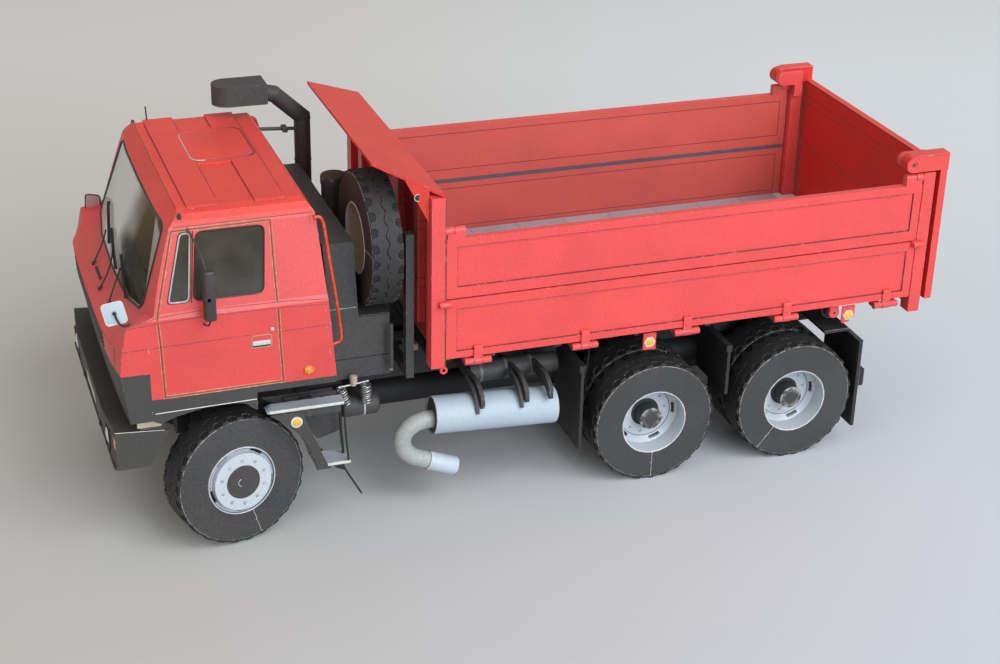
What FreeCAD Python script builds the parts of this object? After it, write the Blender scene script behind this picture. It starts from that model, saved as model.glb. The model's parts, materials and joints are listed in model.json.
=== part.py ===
"""Card model of a six-wheel-drive three-way tipper truck, at 1:32.

Frame: +X forward, +Y to the truck's left, +Z up, millimetres and degrees.
The origin is on the ground, midway along the overall length and on the centre line.
"""
import FreeCAD, Part
import math
import os
import re

import Sketcher
from FreeCAD import Placement, Rotation, Vector

# ---------------------------------------------------------------- driving dimensions
# alias, value, meaning
DIMENSIONS = (
    ("overall_length", 220.0, "bumper to tailgate"),
    ("front_overhang", 30.0, "front axle to the bumper's face"),
    ("axle_base", 110.94, "front axle to middle axle"),
    ("bogie_gap", 41.25, "middle axle to rear axle"),
    ("tyre_radius", 17.0, "outer radius of every tyre"),
    ("tyre_width", 9.0, "width of one tyre"),
    ("bead_radius", 9.0, "radius where tyre meets rim"),
    ("dual_gap", 1.6, "gap between twin tyres"),
    ("dual_face", 38.2, "outer face of the twin wheels from the centre line"),
    ("king_pin_y", 28.3, "king pin from the centre line"),
    ("scrub", 4.0, "king pin to the middle of the front tyre"),
    ("steer_rest", 13.3, "left steering angle as it stands"),
    ("camber", 2.9, "lean of the front wheels as it stands"),
    ("card", 0.8, "thickness of cab card"),
    ("cab_half", 38.6, "half width of the cab"),
    ("cab_floor_z", 44.0, "underside of the red cab skin"),
    ("bed_half", 39.4, "half width over the side boards"),
    ("bed_front_x", 31.1, "front face of the bed's front posts"),
    ("bed_rear_x", -106.7, "rear face of the bed's rear posts"),
    ("floor_top_z", 45.3, "top of the load floor"),
    ("board", 2.0, "thickness of the side boards"),
    ("post", 3.4, "post width along the truck"),
    ("post_deep", 4.0, "post depth across the truck"),
    ("split_z", 60.8, "split between lower and upper boards"),
    ("board_top_z", 76.7, "top of the upper boards"),
    ("tip_x", -83.0, "rear tipping axis along the truck"),
    ("tip_z", 40.5, "rear tipping axis above the ground"),
    ("rail_y", 13.5, "outer face of the frame rails"),
    ("rail_top_z", 37.0, "top of the frame rails"),
    ("rail_low_z", 28.0, "bottom of the frame rails"),
    ("running_gap", 0.05, "radial clearance of every running fit"),
    ("hoist_reach", 60.0, "tipping axis to hoist trunnion and to rod eye"),
    ("trunnion_z", 31.0, "hoist trunnion above the ground"),
)
ALIASES = {alias for alias, _, _ in DIMENSIONS}

FRONT_X = "(overall_length / 2 - front_overhang)"
MID_X = "(overall_length / 2 - front_overhang - axle_base)"
REAR_X = "(overall_length / 2 - front_overhang - axle_base - bogie_gap)"
PIN_X = "(overall_length / 2 - front_overhang + scrub * cos(camber) * sin(steer_rest))"

doc = FreeCAD.newDocument("tipper_truck")
dims = doc.addObject("Spreadsheet::Sheet", "dims")
for row, (alias, number, meaning) in enumerate(DIMENSIONS, start=1):
    dims.set(f"A{row}", meaning)
    dims.set(f"B{row}", str(number))
    dims.setAlias(f"B{row}", alias)
doc.recompute()

nodes = {}


# ---------------------------------------------------------------- small helpers
def cells(formula):
    """The formula with each bare alias turned into a reference to its cell."""
    return re.sub(r"[a-z_]+", lambda m: "dims." + m[0] if m[0] in ALIASES else m[0], str(formula))


def value(formula):
    """The formula's number, worked out from the sheet."""
    return float(dims.evalExpression(cells(formula)))


def keep(name, obj):
    """Record a finished sub-part; its Label names its file."""
    obj.Label = name
    nodes[name] = obj
    return obj


def place(obj, x=0, y=0, z=0):
    """Bind an object's position to the sheet."""
    for axis, formula in zip("xyz", (x, y, z)):
        obj.setExpression(f".Placement.Base.{axis}", cells(formula))
    return obj


def block(name, x, y, z):
    """Rectangular block from (low, high) pairs of formulas."""
    obj = doc.addObject("Part::Box", name)
    for side, (low, high) in zip(("Length", "Width", "Height"), (x, y, z)):
        obj.setExpression(side, cells(f"({high}) - ({low})"))
    return place(obj, x[0], y[0], z[0])


TURNS = {"x": Rotation(Vector(0, 1, 0), 90), "y": Rotation(Vector(1, 0, 0), -90), "z": Rotation()}


def rod(name, axis, radius, span, x=0, y=0, z=0):
    """Cylinder along an axis over a (low, high) span; the other two coordinates place it."""
    obj = doc.addObject("Part::Cylinder", name)
    obj.Placement = Placement(Vector(), TURNS[axis])
    obj.setExpression("Radius", cells(radius))
    obj.setExpression("Height", cells(f"({span[1]}) - ({span[0]})"))
    spot = {"x": x, "y": y, "z": z}
    spot[axis] = span[0]
    return place(obj, **spot)


def fuse(name, parts):
    """One solid from several."""
    obj = doc.addObject("Part::MultiFuse", name)
    obj.Shapes = parts
    obj.Refine = True
    return obj


def cut(name, base, tool):
    """Base without tool."""
    obj = doc.addObject("Part::Cut", name)
    obj.Base = base
    obj.Tool = tool
    return obj


def group(name, parts):
    """Several solids that share a node."""
    obj = doc.addObject("Part::Compound", name)
    obj.Links = parts
    return obj


def mirror(name, source):
    """The same piece on the truck's other side."""
    obj = doc.addObject("Part::Mirroring", name)
    obj.Source = source
    obj.Normal = Vector(0, 1, 0)
    return obj


def pair(name, source):
    """A piece and its mirror image in one node."""
    return group(name, [source, mirror(name + "_right", source)])


def body(name):
    """Empty PartDesign body."""
    obj = doc.addObject("PartDesign::Body", name)
    doc.recompute()
    return obj


def outline(owner, plane, corners, offset=0):
    """Closed straight-sided sketch; each corner's two coordinates are formulas."""
    sketch = owner.newObject("Sketcher::SketchObject", owner.Name + "_sketch")
    base = next(f for f in owner.Origin.OriginFeatures if f.Role == plane)
    sketch.AttachmentSupport = (base, [""])
    sketch.MapMode = "FlatFace"
    if offset:
        sketch.setExpression(".AttachmentOffset.Base.z", cells(offset))
    spots = [Vector(value(u), value(v), 0) for u, v in corners]
    count = len(spots)
    sketch.addGeometry([Part.LineSegment(spots[i], spots[(i + 1) % count]) for i in range(count)], False)
    for i in range(count):
        sketch.addConstraint(Sketcher.Constraint("Coincident", i, 2, (i + 1) % count, 1))
    for i, (u, v) in enumerate(corners):
        for kind, number, formula in (("DistanceX", spots[i].x, u), ("DistanceY", spots[i].y, v)):
            index = sketch.addConstraint(Sketcher.Constraint(kind, i, 1, number))
            sketch.setExpression(f"Constraints[{index}]", cells(formula))
    return sketch


def pad(owner, sketch, length, both=False):
    """Extrude a sketch."""
    feature = owner.newObject("PartDesign::Pad", owner.Name + "_pad")
    feature.Profile = sketch
    feature.setExpression("Length", cells(length))
    feature.Midplane = both
    return feature


def pocket(owner, sketch, depth, reverse=False):
    """Sink a sketch into the solid."""
    feature = owner.newObject("PartDesign::Pocket", owner.Name + "_pocket")
    feature.Profile = sketch
    feature.setExpression("Length", cells(depth))
    feature.Reversed = reverse
    return feature


def turned(name, profile):
    """Solid of revolution about Y from a profile of (radius, y) formulas."""
    obj = body(name)
    sketch = outline(obj, "YZ_Plane", [(along, radius) for radius, along in profile])
    feature = obj.newObject("PartDesign::Revolution", name + "_turned")
    feature.Profile = sketch
    feature.ReferenceAxis = (sketch, ["H_Axis"])
    feature.Angle = 360
    return obj


def prism(points, direction):
    """Solid from a flat polygon pushed along a direction."""
    return Part.Face(Part.makePolygon(points + points[:1])).extrude(direction)


def shaped(name, shape):
    """Sub-part whose shape is worked out here."""
    obj = doc.addObject("Part::Feature", name)
    obj.Shape = shape.removeSplitter()
    obj.Placement = Placement()
    return obj


# ---------------------------------------------------------------- wheels
FRONT_TYRE = (  # radius, place across the wheel
    ("bead_radius", "-tyre_width / 2"),
    ("tyre_radius - 0.5", "-tyre_width / 2"),
    ("tyre_radius", "-tyre_width / 2 + 0.5"),
    ("tyre_radius", "tyre_width / 2 - 0.5"),
    ("tyre_radius - 0.5", "tyre_width / 2"),
    ("bead_radius", "tyre_width / 2"),
)
TWIN_TYRE = (  # radius, place across the pair
    ("bead_radius", "-tyre_width - dual_gap / 2"),
    ("tyre_radius - 0.5", "-tyre_width - dual_gap / 2"),
    ("tyre_radius", "-tyre_width - dual_gap / 2 + 0.5"),
    ("tyre_radius", "-dual_gap / 2"),
    ("tyre_radius - 1.4", "-dual_gap / 2"),
    ("tyre_radius - 1.4", "dual_gap / 2"),
    ("tyre_radius", "dual_gap / 2"),
    ("tyre_radius", "tyre_width + dual_gap / 2 - 0.5"),
    ("tyre_radius - 0.5", "tyre_width + dual_gap / 2"),
    ("bead_radius", "tyre_width + dual_gap / 2"),
)
FRONT_RIM = (  # radius, place across the wheel
    (0, 5.5), (0, 3.5), ("1.5 + running_gap", 3.5), ("1.5 + running_gap", -0.4),
    (2.8, -0.4), (2.8, 2.4), ("bead_radius - 0.8", 2.4), ("bead_radius - 0.8", -4.2),
    ("bead_radius", -4.2), ("bead_radius", 4.6), ("bead_radius - 0.3", 4.6),
    (7.8, 3.6), (7.6, 5.5),
)
TWIN_RIM = (  # radius, place across the pair
    (0, 7.8), (0, 6.0), ("2 + running_gap", 6.0), ("2 + running_gap", -6.0),
    (2.9, -6.0), (2.9, 2.6), (6.9, 2.6), ("bead_radius - 0.8", 3.8), ("bead_radius - 0.8", -9.4),
    ("bead_radius", -9.4), ("bead_radius", 9.8), ("bead_radius - 0.2", 9.8),
    ("bead_radius - 0.4", 4.6), (7.15, 3.5), (3.15, 3.5), (3.15, 7.8),
)
SPARE_RIM = (  # radius, place across the wheel
    (0, 1.0), (0, -2.0), (3.0, -2.0), (3.0, 0.0), ("bead_radius - 0.8", 0.0),
    ("bead_radius - 0.8", -4.2), ("bead_radius", -4.2), ("bead_radius", 4.2),
    ("bead_radius - 0.8", 4.2), ("bead_radius - 0.8", 1.0),
)


def front_wheel(side_name, side):
    """Steered wheel; side is +1 for the left and -1 for the right."""
    turn = Rotation(Vector(0, 0, 1), value("steer_rest"))
    lean = Rotation(Vector(1, 0, 0), side * value("camber"))
    flip = Rotation(Vector(0, 0, 1), 0 if side > 0 else 180)
    for kind, profile in (("tyre", FRONT_TYRE), ("rim", FRONT_RIM)):
        piece = turned(f"wheel_front_{side_name}_{kind}", profile)
        piece.Placement = Placement(Vector(), turn * lean * flip)
        out = "scrub * cos(camber)"
        place(piece, f"{PIN_X} - {side} * {out} * sin(steer_rest)",
              f"{side} * (king_pin_y + {out} * cos(steer_rest))", "tyre_radius + scrub * sin(camber)")
        keep(piece.Name, piece)


def twin_wheel(axle_name, axle_x, side_name, side):
    """Unsteered pair of tyres on one hub."""
    flip = Rotation(Vector(0, 0, 1), 0 if side > 0 else 180)
    for kind, profile in (("tyres", TWIN_TYRE), ("rim", TWIN_RIM)):
        piece = turned(f"wheel_{axle_name}_{side_name}_{kind}", profile)
        piece.Placement = Placement(Vector(), flip)
        place(piece, axle_x, f"{side} * (dual_face - tyre_width - dual_gap / 2)", "tyre_radius")
        keep(piece.Name, piece)


def wheels():
    """All six running wheels."""
    for side_name, side in (("left", 1), ("right", -1)):
        front_wheel(side_name, side)
        twin_wheel("mid", MID_X, side_name, side)
        twin_wheel("rear", REAR_X, side_name, side)


def spare_wheel():
    """Spare wheel, upright across the truck behind the cab."""
    for name, profile in (("spare_tyre", FRONT_TYRE), ("spare_rim", SPARE_RIM)):
        piece = turned(name, profile)
        piece.Placement = Placement(Vector(), Rotation(Vector(0, 0, 1), -90))
        keep(name, place(piece, 40.5, 20, 71.5))
    posts = [block(f"carrier_post_{i}", (33.4, 35.4), (y - 1.2, y + 1.2), ("rail_top_z", 76))
             for i, y in enumerate((9, 31))]
    foot = block("carrier_foot", (33.4, 35.4), (-10.8, 32.2), ("rail_top_z", "rail_top_z + 2.4"))
    bar = block("carrier_bar", (33.4, 35.4), (7.8, 32.2), (70.3, 72.7))
    stud = rod("carrier_stud", "x", 2.2, (35.4, 38.5), y=20, z=71.5)
    keep("spare_carrier", fuse("spare_carrier", posts + [foot, bar, stud]))


# ---------------------------------------------------------------- axles and steering
def driveline():
    """Backbone tube with its three final-drive housings, and the half axles."""
    tube = rod("backbone", "x", 3.7, (f"{REAR_X} - 8", f"{FRONT_X} + 9"), z="tyre_radius")
    housings = [block(f"final_drive_{i}", (f"{x} - 5.5", f"{x} + 5.5"), (-5.5, 5.5),
                      ("tyre_radius - 5.2", "tyre_radius + 5.2"))
                for i, x in enumerate((FRONT_X, MID_X, REAR_X))]
    keep("backbone_tube", fuse("backbone_tube", [tube] + housings))

    pin_x = PIN_X
    yoke = [
        rod("front_half_axle", "y", 2.0, (5.5, "king_pin_y - 3.4"), x=pin_x, z="tyre_radius"),
        block("yoke_web", (f"{pin_x} - 1.6", f"{pin_x} + 1.6"), ("king_pin_y - 4.4", "king_pin_y - 3.2"),
              ("tyre_radius - 4.6", "tyre_radius + 4.6")),
        block("yoke_top", (f"{pin_x} - 1.6", f"{pin_x} + 1.6"), ("king_pin_y - 3.4", "king_pin_y + 1.6"),
              ("tyre_radius + 3.2", "tyre_radius + 4.6")),
        block("yoke_low", (f"{pin_x} - 1.6", f"{pin_x} + 1.6"), ("king_pin_y - 3.4", "king_pin_y + 1.6"),
              ("tyre_radius - 4.6", "tyre_radius - 3.2")),
    ]
    bore = rod("yoke_bore", "z", "1 + running_gap", ("tyre_radius - 5", "tyre_radius + 5"),
               x=pin_x, y="king_pin_y")
    half = cut("front_yoke", fuse("front_yoke_solid", yoke), bore)
    keep("front_axle", pair("front_axle", half))

    rear = [rod(f"half_axle_{i}", "y", 2.0, (5.5, "dual_face - tyre_width - dual_gap / 2 + 5.9"),
                x=x, z="tyre_radius") for i, x in enumerate((MID_X, REAR_X))]
    keep("rear_axles", group("rear_axles", [piece for half_axle in rear for piece in
                                            (half_axle, mirror(half_axle.Name + "_right", half_axle))]))


def knuckle(side_name, side):
    """King pin and wheel spindle of one front wheel, turned as the wheel stands."""
    sleeve = rod(f"sleeve_{side_name}", "z", 2.0, (-2.9, 2.9))
    pin = rod(f"king_pin_{side_name}", "z", 1.0, (-4.5, 4.5))
    spindle = rod(f"spindle_{side_name}", "y", 1.5, (0, "scrub + 3.4"))
    spindle.Placement = Placement(Vector(), Rotation(Vector(1, 0, 0), -90 + value("camber")))
    piece = fuse(f"knuckle_{side_name}", [sleeve, pin, spindle])
    turn = Rotation(Vector(0, 0, 1), value("steer_rest") + (0 if side > 0 else 180))
    piece.Placement = Placement(Vector(), turn)
    place(piece, PIN_X, f"{side} * king_pin_y", "tyre_radius")
    keep(piece.Name, piece)


# ---------------------------------------------------------------- frame
RAIL_TAIL = -89.8  # rear end of the rails, ahead of where the tipped floor's edge comes down


def frame():
    """Two channel rails, cross members, hangers to the backbone and the tipping pivots."""
    rail = cut("rail",
               block("rail_solid", (RAIL_TAIL, 94), ("rail_y - 2.7", "rail_y"), ("rail_low_z", "rail_top_z")),
               block("rail_hollow", (RAIL_TAIL - 0.5, 94.5), ("rail_y - 3", "rail_y - 0.8"),
                     ("rail_low_z + 0.8", "rail_top_z - 0.8")))
    parts = [rail, mirror("rail_right", rail)]
    for i, (x, low, high) in enumerate((  # place along the truck, bottom, top
            (f"{FRONT_X} + 8", "rail_low_z", "rail_low_z + 3"), (38, 29, 34), (2, 29, 34),
            (MID_X, "tyre_radius + 5.2", 32.4), (REAR_X, "tyre_radius + 5.2", 34), (RAIL_TAIL + 2, 29, 36))):
        parts.append(block(f"cross_member_{i}", (f"{x} - 1.5", f"{x} + 1.5"), ("-rail_y + 0.8", "rail_y - 0.8"),
                           (low, high)))
    for i, (x, half) in enumerate((("tip_x", 34), (27, 34))):  # place along the truck, half length
        parts.append(rod(f"tipping_tube_{i}", "y", 1.6, (-half, half), x=x, z="tip_z"))
        for j, side in enumerate((-1, 1)):
            parts.append(block(f"tube_stand_{i}_{j}", (f"{x} - 1.6", f"{x} + 1.6"),
                               (f"{side} * 12.15 - 1.35", f"{side} * 12.15 + 1.35"), ("rail_top_z - 0.4", "tip_z")))
    base_x = "(tip_x + sqrt(hoist_reach ^ 2 - (tip_z - trunnion_z) ^ 2))"
    for side in (-1, 1):
        bearing = block(f"trunnion_block_{side + 1}", (f"{base_x} - 2.6", f"{base_x} + 2.6"),
                        (f"{side} * 8.9 - 2.9", f"{side} * 8.9 + 2.9"), ("trunnion_z - 2.6", "trunnion_z + 2.6"))
        bore = rod(f"trunnion_bore_{side + 1}", "y", "1.2 + running_gap",
                   (f"{side} * 7.7 - 1.8", f"{side} * 7.7 + 1.8"), x=base_x, z="trunnion_z")
        parts.append(cut(f"trunnion_bearing_{side + 1}", bearing, bore))
    keep("frame_rails", fuse("frame_rails", parts))


# ---------------------------------------------------------------- telescopic hoist
HOIST_STAGES = (  # name, outer radius, inner radius, bottom, top (along the hoist from its trunnion)
    ("hoist_barrel", 4.6, 4.15, -6.2, 6.4),
    ("hoist_stage_1", 4.1, 3.55, -6.1, 6.7),
    ("hoist_stage_2", 3.5, 2.95, -6.1, 7.0),
    ("hoist_stage_3", 2.9, 2.35, -6.1, 7.3),
    ("hoist_rod", 2.3, 0.0, -6.1, 8.0),
)


def hoist():
    """Nested tubes on a trunnion, with an eye on the innermost."""
    drop = value("tip_z - trunnion_z")
    reach = value("hoist_reach")
    lean = math.degrees(math.asin(drop / reach)) / 2
    closed = 2 * reach * math.sin(math.radians(lean))
    for name, outer, inner, low, high in HOIST_STAGES:
        parts = [rod(f"{name}_wall", "z", outer, (low, high))]
        if name == "hoist_barrel":
            parts.append(rod("barrel_base", "z", outer, (low - 0.4, low)))
            parts.append(rod("trunnions", "y", 1.2, (-9.2, 9.2)))
        if name == "hoist_rod":
            parts.append(rod("rod_eye", "y", 1.7, (-1.5, 1.5), z=closed))
        solid = fuse(f"{name}_solid", parts) if len(parts) > 1 else parts[0]
        if name == "hoist_rod":
            hollow = rod("rod_eye_bore", "y", 0.9, (-2, 2), z=closed)
        else:
            hollow = rod(f"{name}_hollow", "z", inner, (low if name == "hoist_barrel" else low - 1, high + 1))
        piece = cut(name, solid, hollow)
        piece.Placement = Placement(Vector(), Rotation(Vector(0, 1, 0), lean))
        place(piece, "tip_x + sqrt(hoist_reach ^ 2 - (tip_z - trunnion_z) ^ 2)", 0, "trunnion_z")
        keep(name, piece)


# ---------------------------------------------------------------- tipping bed
HINGE_X = (19.0, -9.6, -37.9, -66.4, -96.0)  # lower-board hinges along the truck
LOW_PIN = ("bed_half - 0.1", "floor_top_z - 2.1")  # lower hinge line: across, up
TOP_PIN = ("bed_half - 1.0", "board_top_z + 1.9")  # upper hinge line: across, up


def load_floor():
    """Floor plate with bearers, beams, tipping lugs, hoist ears and hinge barrels."""
    plate = body("floor_plate")
    front, rear, half, notch = "bed_front_x - post", "bed_rear_x + 0.3", "bed_half - board - 0.3", "bed_half - post_deep"
    corners = [(front, f"-({half})"), (front, half), (f"{rear} + post", half), (f"{rear} + post", f"{notch} - 0.3"),
               (rear, f"{notch} - 0.3"), (rear, f"0.3 - ({notch})"), (f"{rear} + post", f"0.3 - ({notch})"),
               (f"{rear} + post", f"-({half})")]
    pad(plate, outline(plate, "XY_Plane", corners, "floor_top_z - 1.5"), 1.5)
    parts = [plate]
    under = "floor_top_z - 1.5"
    for side in (-1, 1):
        parts.append(block(f"beam_{side + 1}", ("tip_x + 3", "bed_front_x - 6.7"),
                           (f"{side} * 15.9 - 1.4", f"{side} * 15.9 + 1.4"), ("rail_top_z + 1.6", under)))
    for i, x in enumerate((14, -4, -26, -46, -64)):
        parts.append(block(f"bearer_{i}", (x - 0.8, x + 0.8), ("-bed_half + 4", "bed_half - 4"),
                           ("floor_top_z - 3.4", under)))
    for side in (-1, 1):
        lug = fuse(f"lug_solid_{side + 1}", [
            block(f"lug_web_{side + 1}", ("tip_x - 2.4", "tip_x + 2.4"), (f"{side} * 31 - 2", f"{side} * 31 + 2"),
                  ("tip_z", under)),
            rod(f"lug_ring_{side + 1}", "y", 2.4, (f"{side} * 31 - 2", f"{side} * 31 + 2"), x="tip_x", z="tip_z")])
        parts.append(cut(f"lug_{side + 1}", lug, rod(f"lug_bore_{side + 1}", "y", "1.6 + running_gap",
                                                     (f"{side} * 31 - 3", f"{side} * 31 + 3"), x="tip_x", z="tip_z")))
        saddle = block(f"saddle_solid_{side + 1}", (24.4, 29.4), (f"{side} * 31 - 2", f"{side} * 31 + 2"),
                       ("tip_z + 0.3", under))
        parts.append(cut(f"saddle_{side + 1}", saddle, rod(f"saddle_groove_{side + 1}", "y", "1.6 + running_gap",
                                                           (f"{side} * 31 - 3", f"{side} * 31 + 3"), x=27, z="tip_z")))
        ear = block(f"ear_solid_{side + 1}", ("tip_x + hoist_reach - 2", "tip_x + hoist_reach + 2"),
                    (f"{side} * 3.2 - 0.7", f"{side} * 3.2 + 0.7"), ("tip_z - 1.8", under))
        parts.append(cut(f"ear_{side + 1}", ear, rod(f"ear_bore_{side + 1}", "y", 0.9,
                                                     (f"{side} * 3.2 - 1", f"{side} * 3.2 + 1"),
                                                     x="tip_x + hoist_reach", z="tip_z")))
    left = []
    for i, x in enumerate(HINGE_X):
        for j, shift in enumerate((-2.3, 2.3)):
            low, high = f"{x + shift} - 1.15", f"{x + shift} + 1.15"
            left.append(rod(f"floor_knuckle_{i}_{j}", "x", 0.9, (low, high), y=LOW_PIN[0], z=LOW_PIN[1]))
            left.append(block(f"knuckle_arm_{i}_{j}", (low, high), ("bed_half - board - 0.5", LOW_PIN[0]),
                              (f"{LOW_PIN[1]} - 0.6", f"{LOW_PIN[1]} + 0.6")))
        left.append(rod(f"floor_pin_{i}", "x", 0.5, (f"{x} - 1.3", f"{x} + 1.3"), y=LOW_PIN[0], z=LOW_PIN[1]))
    side_set = fuse("left_knuckles", left)
    parts += [side_set, mirror("right_knuckles", side_set)]
    keep("bed_floor", fuse("bed_floor", parts))


def headboard():
    """Front wall between two corner posts, ribbed in front, with the top hinge pins."""
    front, back = "bed_front_x", "bed_front_x - post"
    parts = [block("front_wall", (back, f"{back} + 1.5"), ("-bed_half + 3.5", "bed_half - 3.5"),
                   ("floor_top_z", 87.0))]
    for i, y in enumerate((-26, -9, 9, 26)):
        parts.append(block(f"wall_rib_{i}", (f"{back} + 1", front), (y - 1.6, y + 1.6), (50, 86)))
    post = block("front_post", (back, front), ("bed_half - post_deep", "bed_half"), ("floor_top_z - 2.9", 87.6))
    pin = rod("front_top_pin", "x", 0.6, (f"{back} - 5.2", back), y=TOP_PIN[0], z=TOP_PIN[1])
    parts += [post, mirror("front_post_right", post), pin, mirror("front_top_pin_right", pin)]
    keep("headboard", fuse("headboard", parts))


def canopy():
    """Sloping guard over the spare wheel, narrowing forward, with folded gussets."""
    half, narrow, back, front = value("bed_half"), 31.6, value("bed_front_x - post"), 43.8
    low, high, card = 87.6, 94.6, value("card")
    rear_left, front_left = Vector(back, half, low), Vector(front, narrow, high)
    deck = prism([rear_left, front_left, Vector(front, -narrow, high), Vector(back, -half, low)], Vector(0, 0, card))
    share = 0.55
    fold = rear_left + (front_left - rear_left) * share
    post_top = rear_left + (front_left - rear_left) * 0.22
    gusset = prism([post_top, fold, Vector(post_top.x, post_top.y, 80.8)], Vector(-0.2, -card, 0))
    mirrored = gusset.mirror(Vector(), Vector(0, 1, 0))
    keep("canopy", shaped("canopy", deck.fuse([gusset, mirrored])))


def rear_posts():
    """Two rear corner posts with the tailgate's ears and pins and the top hinge pins."""
    rear, front, inner = "bed_rear_x", "bed_rear_x + post", "bed_half - post_deep"
    post = block("rear_post", (rear, front), (inner, "bed_half"), ("floor_top_z - 5.4", "board_top_z + 3.1"))
    ear = block("tailgate_ear", ("bed_rear_x + 1", "bed_rear_x + 8.8"), (f"{inner} - 1.4", f"{inner} + 0.6"),
                ("board_top_z", "board_top_z + 7.6"))
    pin = rod("tailgate_pin", "y", 0.9, (inner, "bed_half + 0.1"), x="bed_rear_x + 7", z="board_top_z + 5.8")
    hinge = rod("rear_top_pin", "x", 0.6, (front, f"{front} + 5.2"), y=TOP_PIN[0], z=TOP_PIN[1])
    foot = block("post_foot", (f"{rear}", f"{front}"), (f"{inner} - 2", inner), ("floor_top_z - 3.4", "floor_top_z - 1.5"))
    left = fuse("rear_post_left", [post, ear, pin, hinge, foot])
    keep("rear_posts", pair("rear_posts", left))


BOARDS = (  # name, bottom, top, panel bottom, panel top
    ("lower", "floor_top_z - 0.7", "split_z - 0.2", "floor_top_z + 1.2", "split_z - 2.8"),
    ("upper", "split_z + 0.2", "board_top_z", "split_z + 3.1", "board_top_z - 2.2"),
)


def side_board(level, low, high, panel_low, panel_high):
    """Drop-side board with a recessed panel; the lower one carries straps, the upper one barrels."""
    board = body(f"{level}_board_plate")
    front, rear = "bed_front_x - post - 0.4", "bed_rear_x + post + 0.3"
    pad(board, outline(board, "XZ_Plane", [(front, low), (front, high), (rear, high), (rear, low)],
                       "-bed_half"), "board")
    panel = outline(board, "XZ_Plane", [(f"{front} - 2.8", panel_low), (f"{front} - 2.8", panel_high),
                                        (f"{rear} + 2.3", panel_high), (f"{rear} + 2.3", panel_low)], "-bed_half")
    pocket(board, panel, 0.4, reverse=True)
    parts = [board]
    if level == "lower":
        for i, x in enumerate(HINGE_X):
            parts.append(block(f"strap_{i}", (x - 1.0, x + 1.0), ("bed_half - 0.4", "bed_half + 0.4"),
                               (LOW_PIN[1], "floor_top_z + 2.2")))
            parts.append(rod(f"strap_eye_{i}", "x", 1.0, (x - 1.0, x + 1.0), y=LOW_PIN[0], z=LOW_PIN[1]))
        solid = fuse("lower_board_solid", parts)
        bores = [rod(f"strap_bore_{i}", "x", "0.5 + running_gap", (x - 2, x + 2), y=LOW_PIN[0], z=LOW_PIN[1])
                 for i, x in enumerate(HINGE_X)]
        left = cut("lower_board_bored", solid, group("strap_bores", bores))
    else:
        ends = (("front", f"{front} - 4.8", f"{front} - 0.2"), ("rear", f"{rear} + 0.2", f"{rear} + 4.8"))
        for end, start, stop in ends:
            parts.append(block(f"barrel_web_{end}", (start, stop), ("bed_half - board", "bed_half"),
                               ("board_top_z - 0.5", TOP_PIN[1])))
            parts.append(rod(f"barrel_{end}", "x", 1.0, (start, stop), y=TOP_PIN[0], z=TOP_PIN[1]))
        solid = fuse("upper_board_solid", parts)
        bores = [rod(f"barrel_bore_{end}", "x", "0.6 + running_gap", (f"{start} - 1", f"{stop} + 1"),
                     y=TOP_PIN[0], z=TOP_PIN[1]) for end, start, stop in ends]
        left = cut("upper_board_bored", solid, group("barrel_bores", bores))
    keep(f"side_board_{level}_left", left)
    keep(f"side_board_{level}_right", mirror(f"side_board_{level}_right", left))


def tailgate():
    """Rear wall hanging from two arms on top of the rear posts."""
    half, back = "bed_half", "-overall_length / 2"
    plate = body("tailgate_plate")
    corners = [(f"-{half}", "floor_top_z - 2"), (half, "floor_top_z - 2"), (half, "board_top_z + 4.2"),
               (f"-{half}", "board_top_z + 4.2")]
    pad(plate, outline(plate, "YZ_Plane", corners, back), 2.0)
    parts = [plate]
    pin_x, pin_z = "bed_rear_x + 7", "board_top_z + 5.8"
    for side in (-1, 1):
        span = (f"{side} * ({half} - 1.5) - 1.7", f"{side} * ({half} - 1.5) + 1.7")
        parts.append(block(f"gate_arm_{side + 1}", (back, pin_x), span, ("board_top_z + 3.7", "board_top_z + 7.9")))
        parts.append(rod(f"arm_end_{side + 1}", "y", 2.1, span, x=pin_x, z=pin_z))
    solid = fuse("tailgate_solid", parts)
    bore = rod("gate_bore", "y", "0.9 + running_gap", (f"-{half} - 1", f"{half} + 1"), x=pin_x, z=pin_z)
    keep("tailgate", cut("tailgate", solid, bore))


def bed():
    """Every piece that tips."""
    load_floor()
    headboard()
    canopy()
    rear_posts()
    for row in BOARDS:
        side_board(*row)
    tailgate()


# ---------------------------------------------------------------- cab
CAB_PROFILES = (  # half width, then the cab's outline there: place along the truck, height
    (0.0, ((55.0, 37.0), (54.9, 44.0), (56.6, 65.0), (58.3, 85.6), (60.5, 88.6), (90.2, 88.6), (93.8, 85.4),
           (102.4, 61.0), (106.0, 58.3), (108.9, 57.5), (108.5, 51.6), (105.9, 37.0))),
    (20.0, ((55.0, 37.0), (54.9, 44.0), (56.6, 65.0), (58.3, 85.6), (60.5, 88.6), (90.2, 88.6), (93.6, 85.4),
            (102.0, 61.6), (105.8, 58.6), (108.7, 57.5), (108.3, 51.6), (105.7, 37.0))),
    (31.0, ((55.0, 37.0), (54.9, 44.0), (56.6, 65.0), (58.3, 85.6), (60.5, 88.6), (90.0, 88.6), (93.0, 85.4),
            (100.6, 63.4), (104.6, 60.6), (108.1, 57.5), (107.8, 51.6), (105.4, 37.0))),
    (35.0, ((55.0, 37.0), (54.9, 44.0), (56.6, 65.0), (58.3, 85.6), (60.5, 88.6), (89.8, 88.6), (92.6, 85.4),
            (99.6, 64.8), (104.6, 62.4), (106.9, 57.5), (107.3, 51.6), (105.2, 37.0))),
    (38.6, ((55.0, 37.0), (54.9, 44.0), (56.6, 65.0), (58.3, 85.6), (60.5, 88.6), (89.6, 88.6), (92.4, 85.4),
            (97.8, 65.4), (104.6, 63.4), (105.9, 57.5), (106.7, 51.6), (105.0, 37.0))),
)
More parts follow.
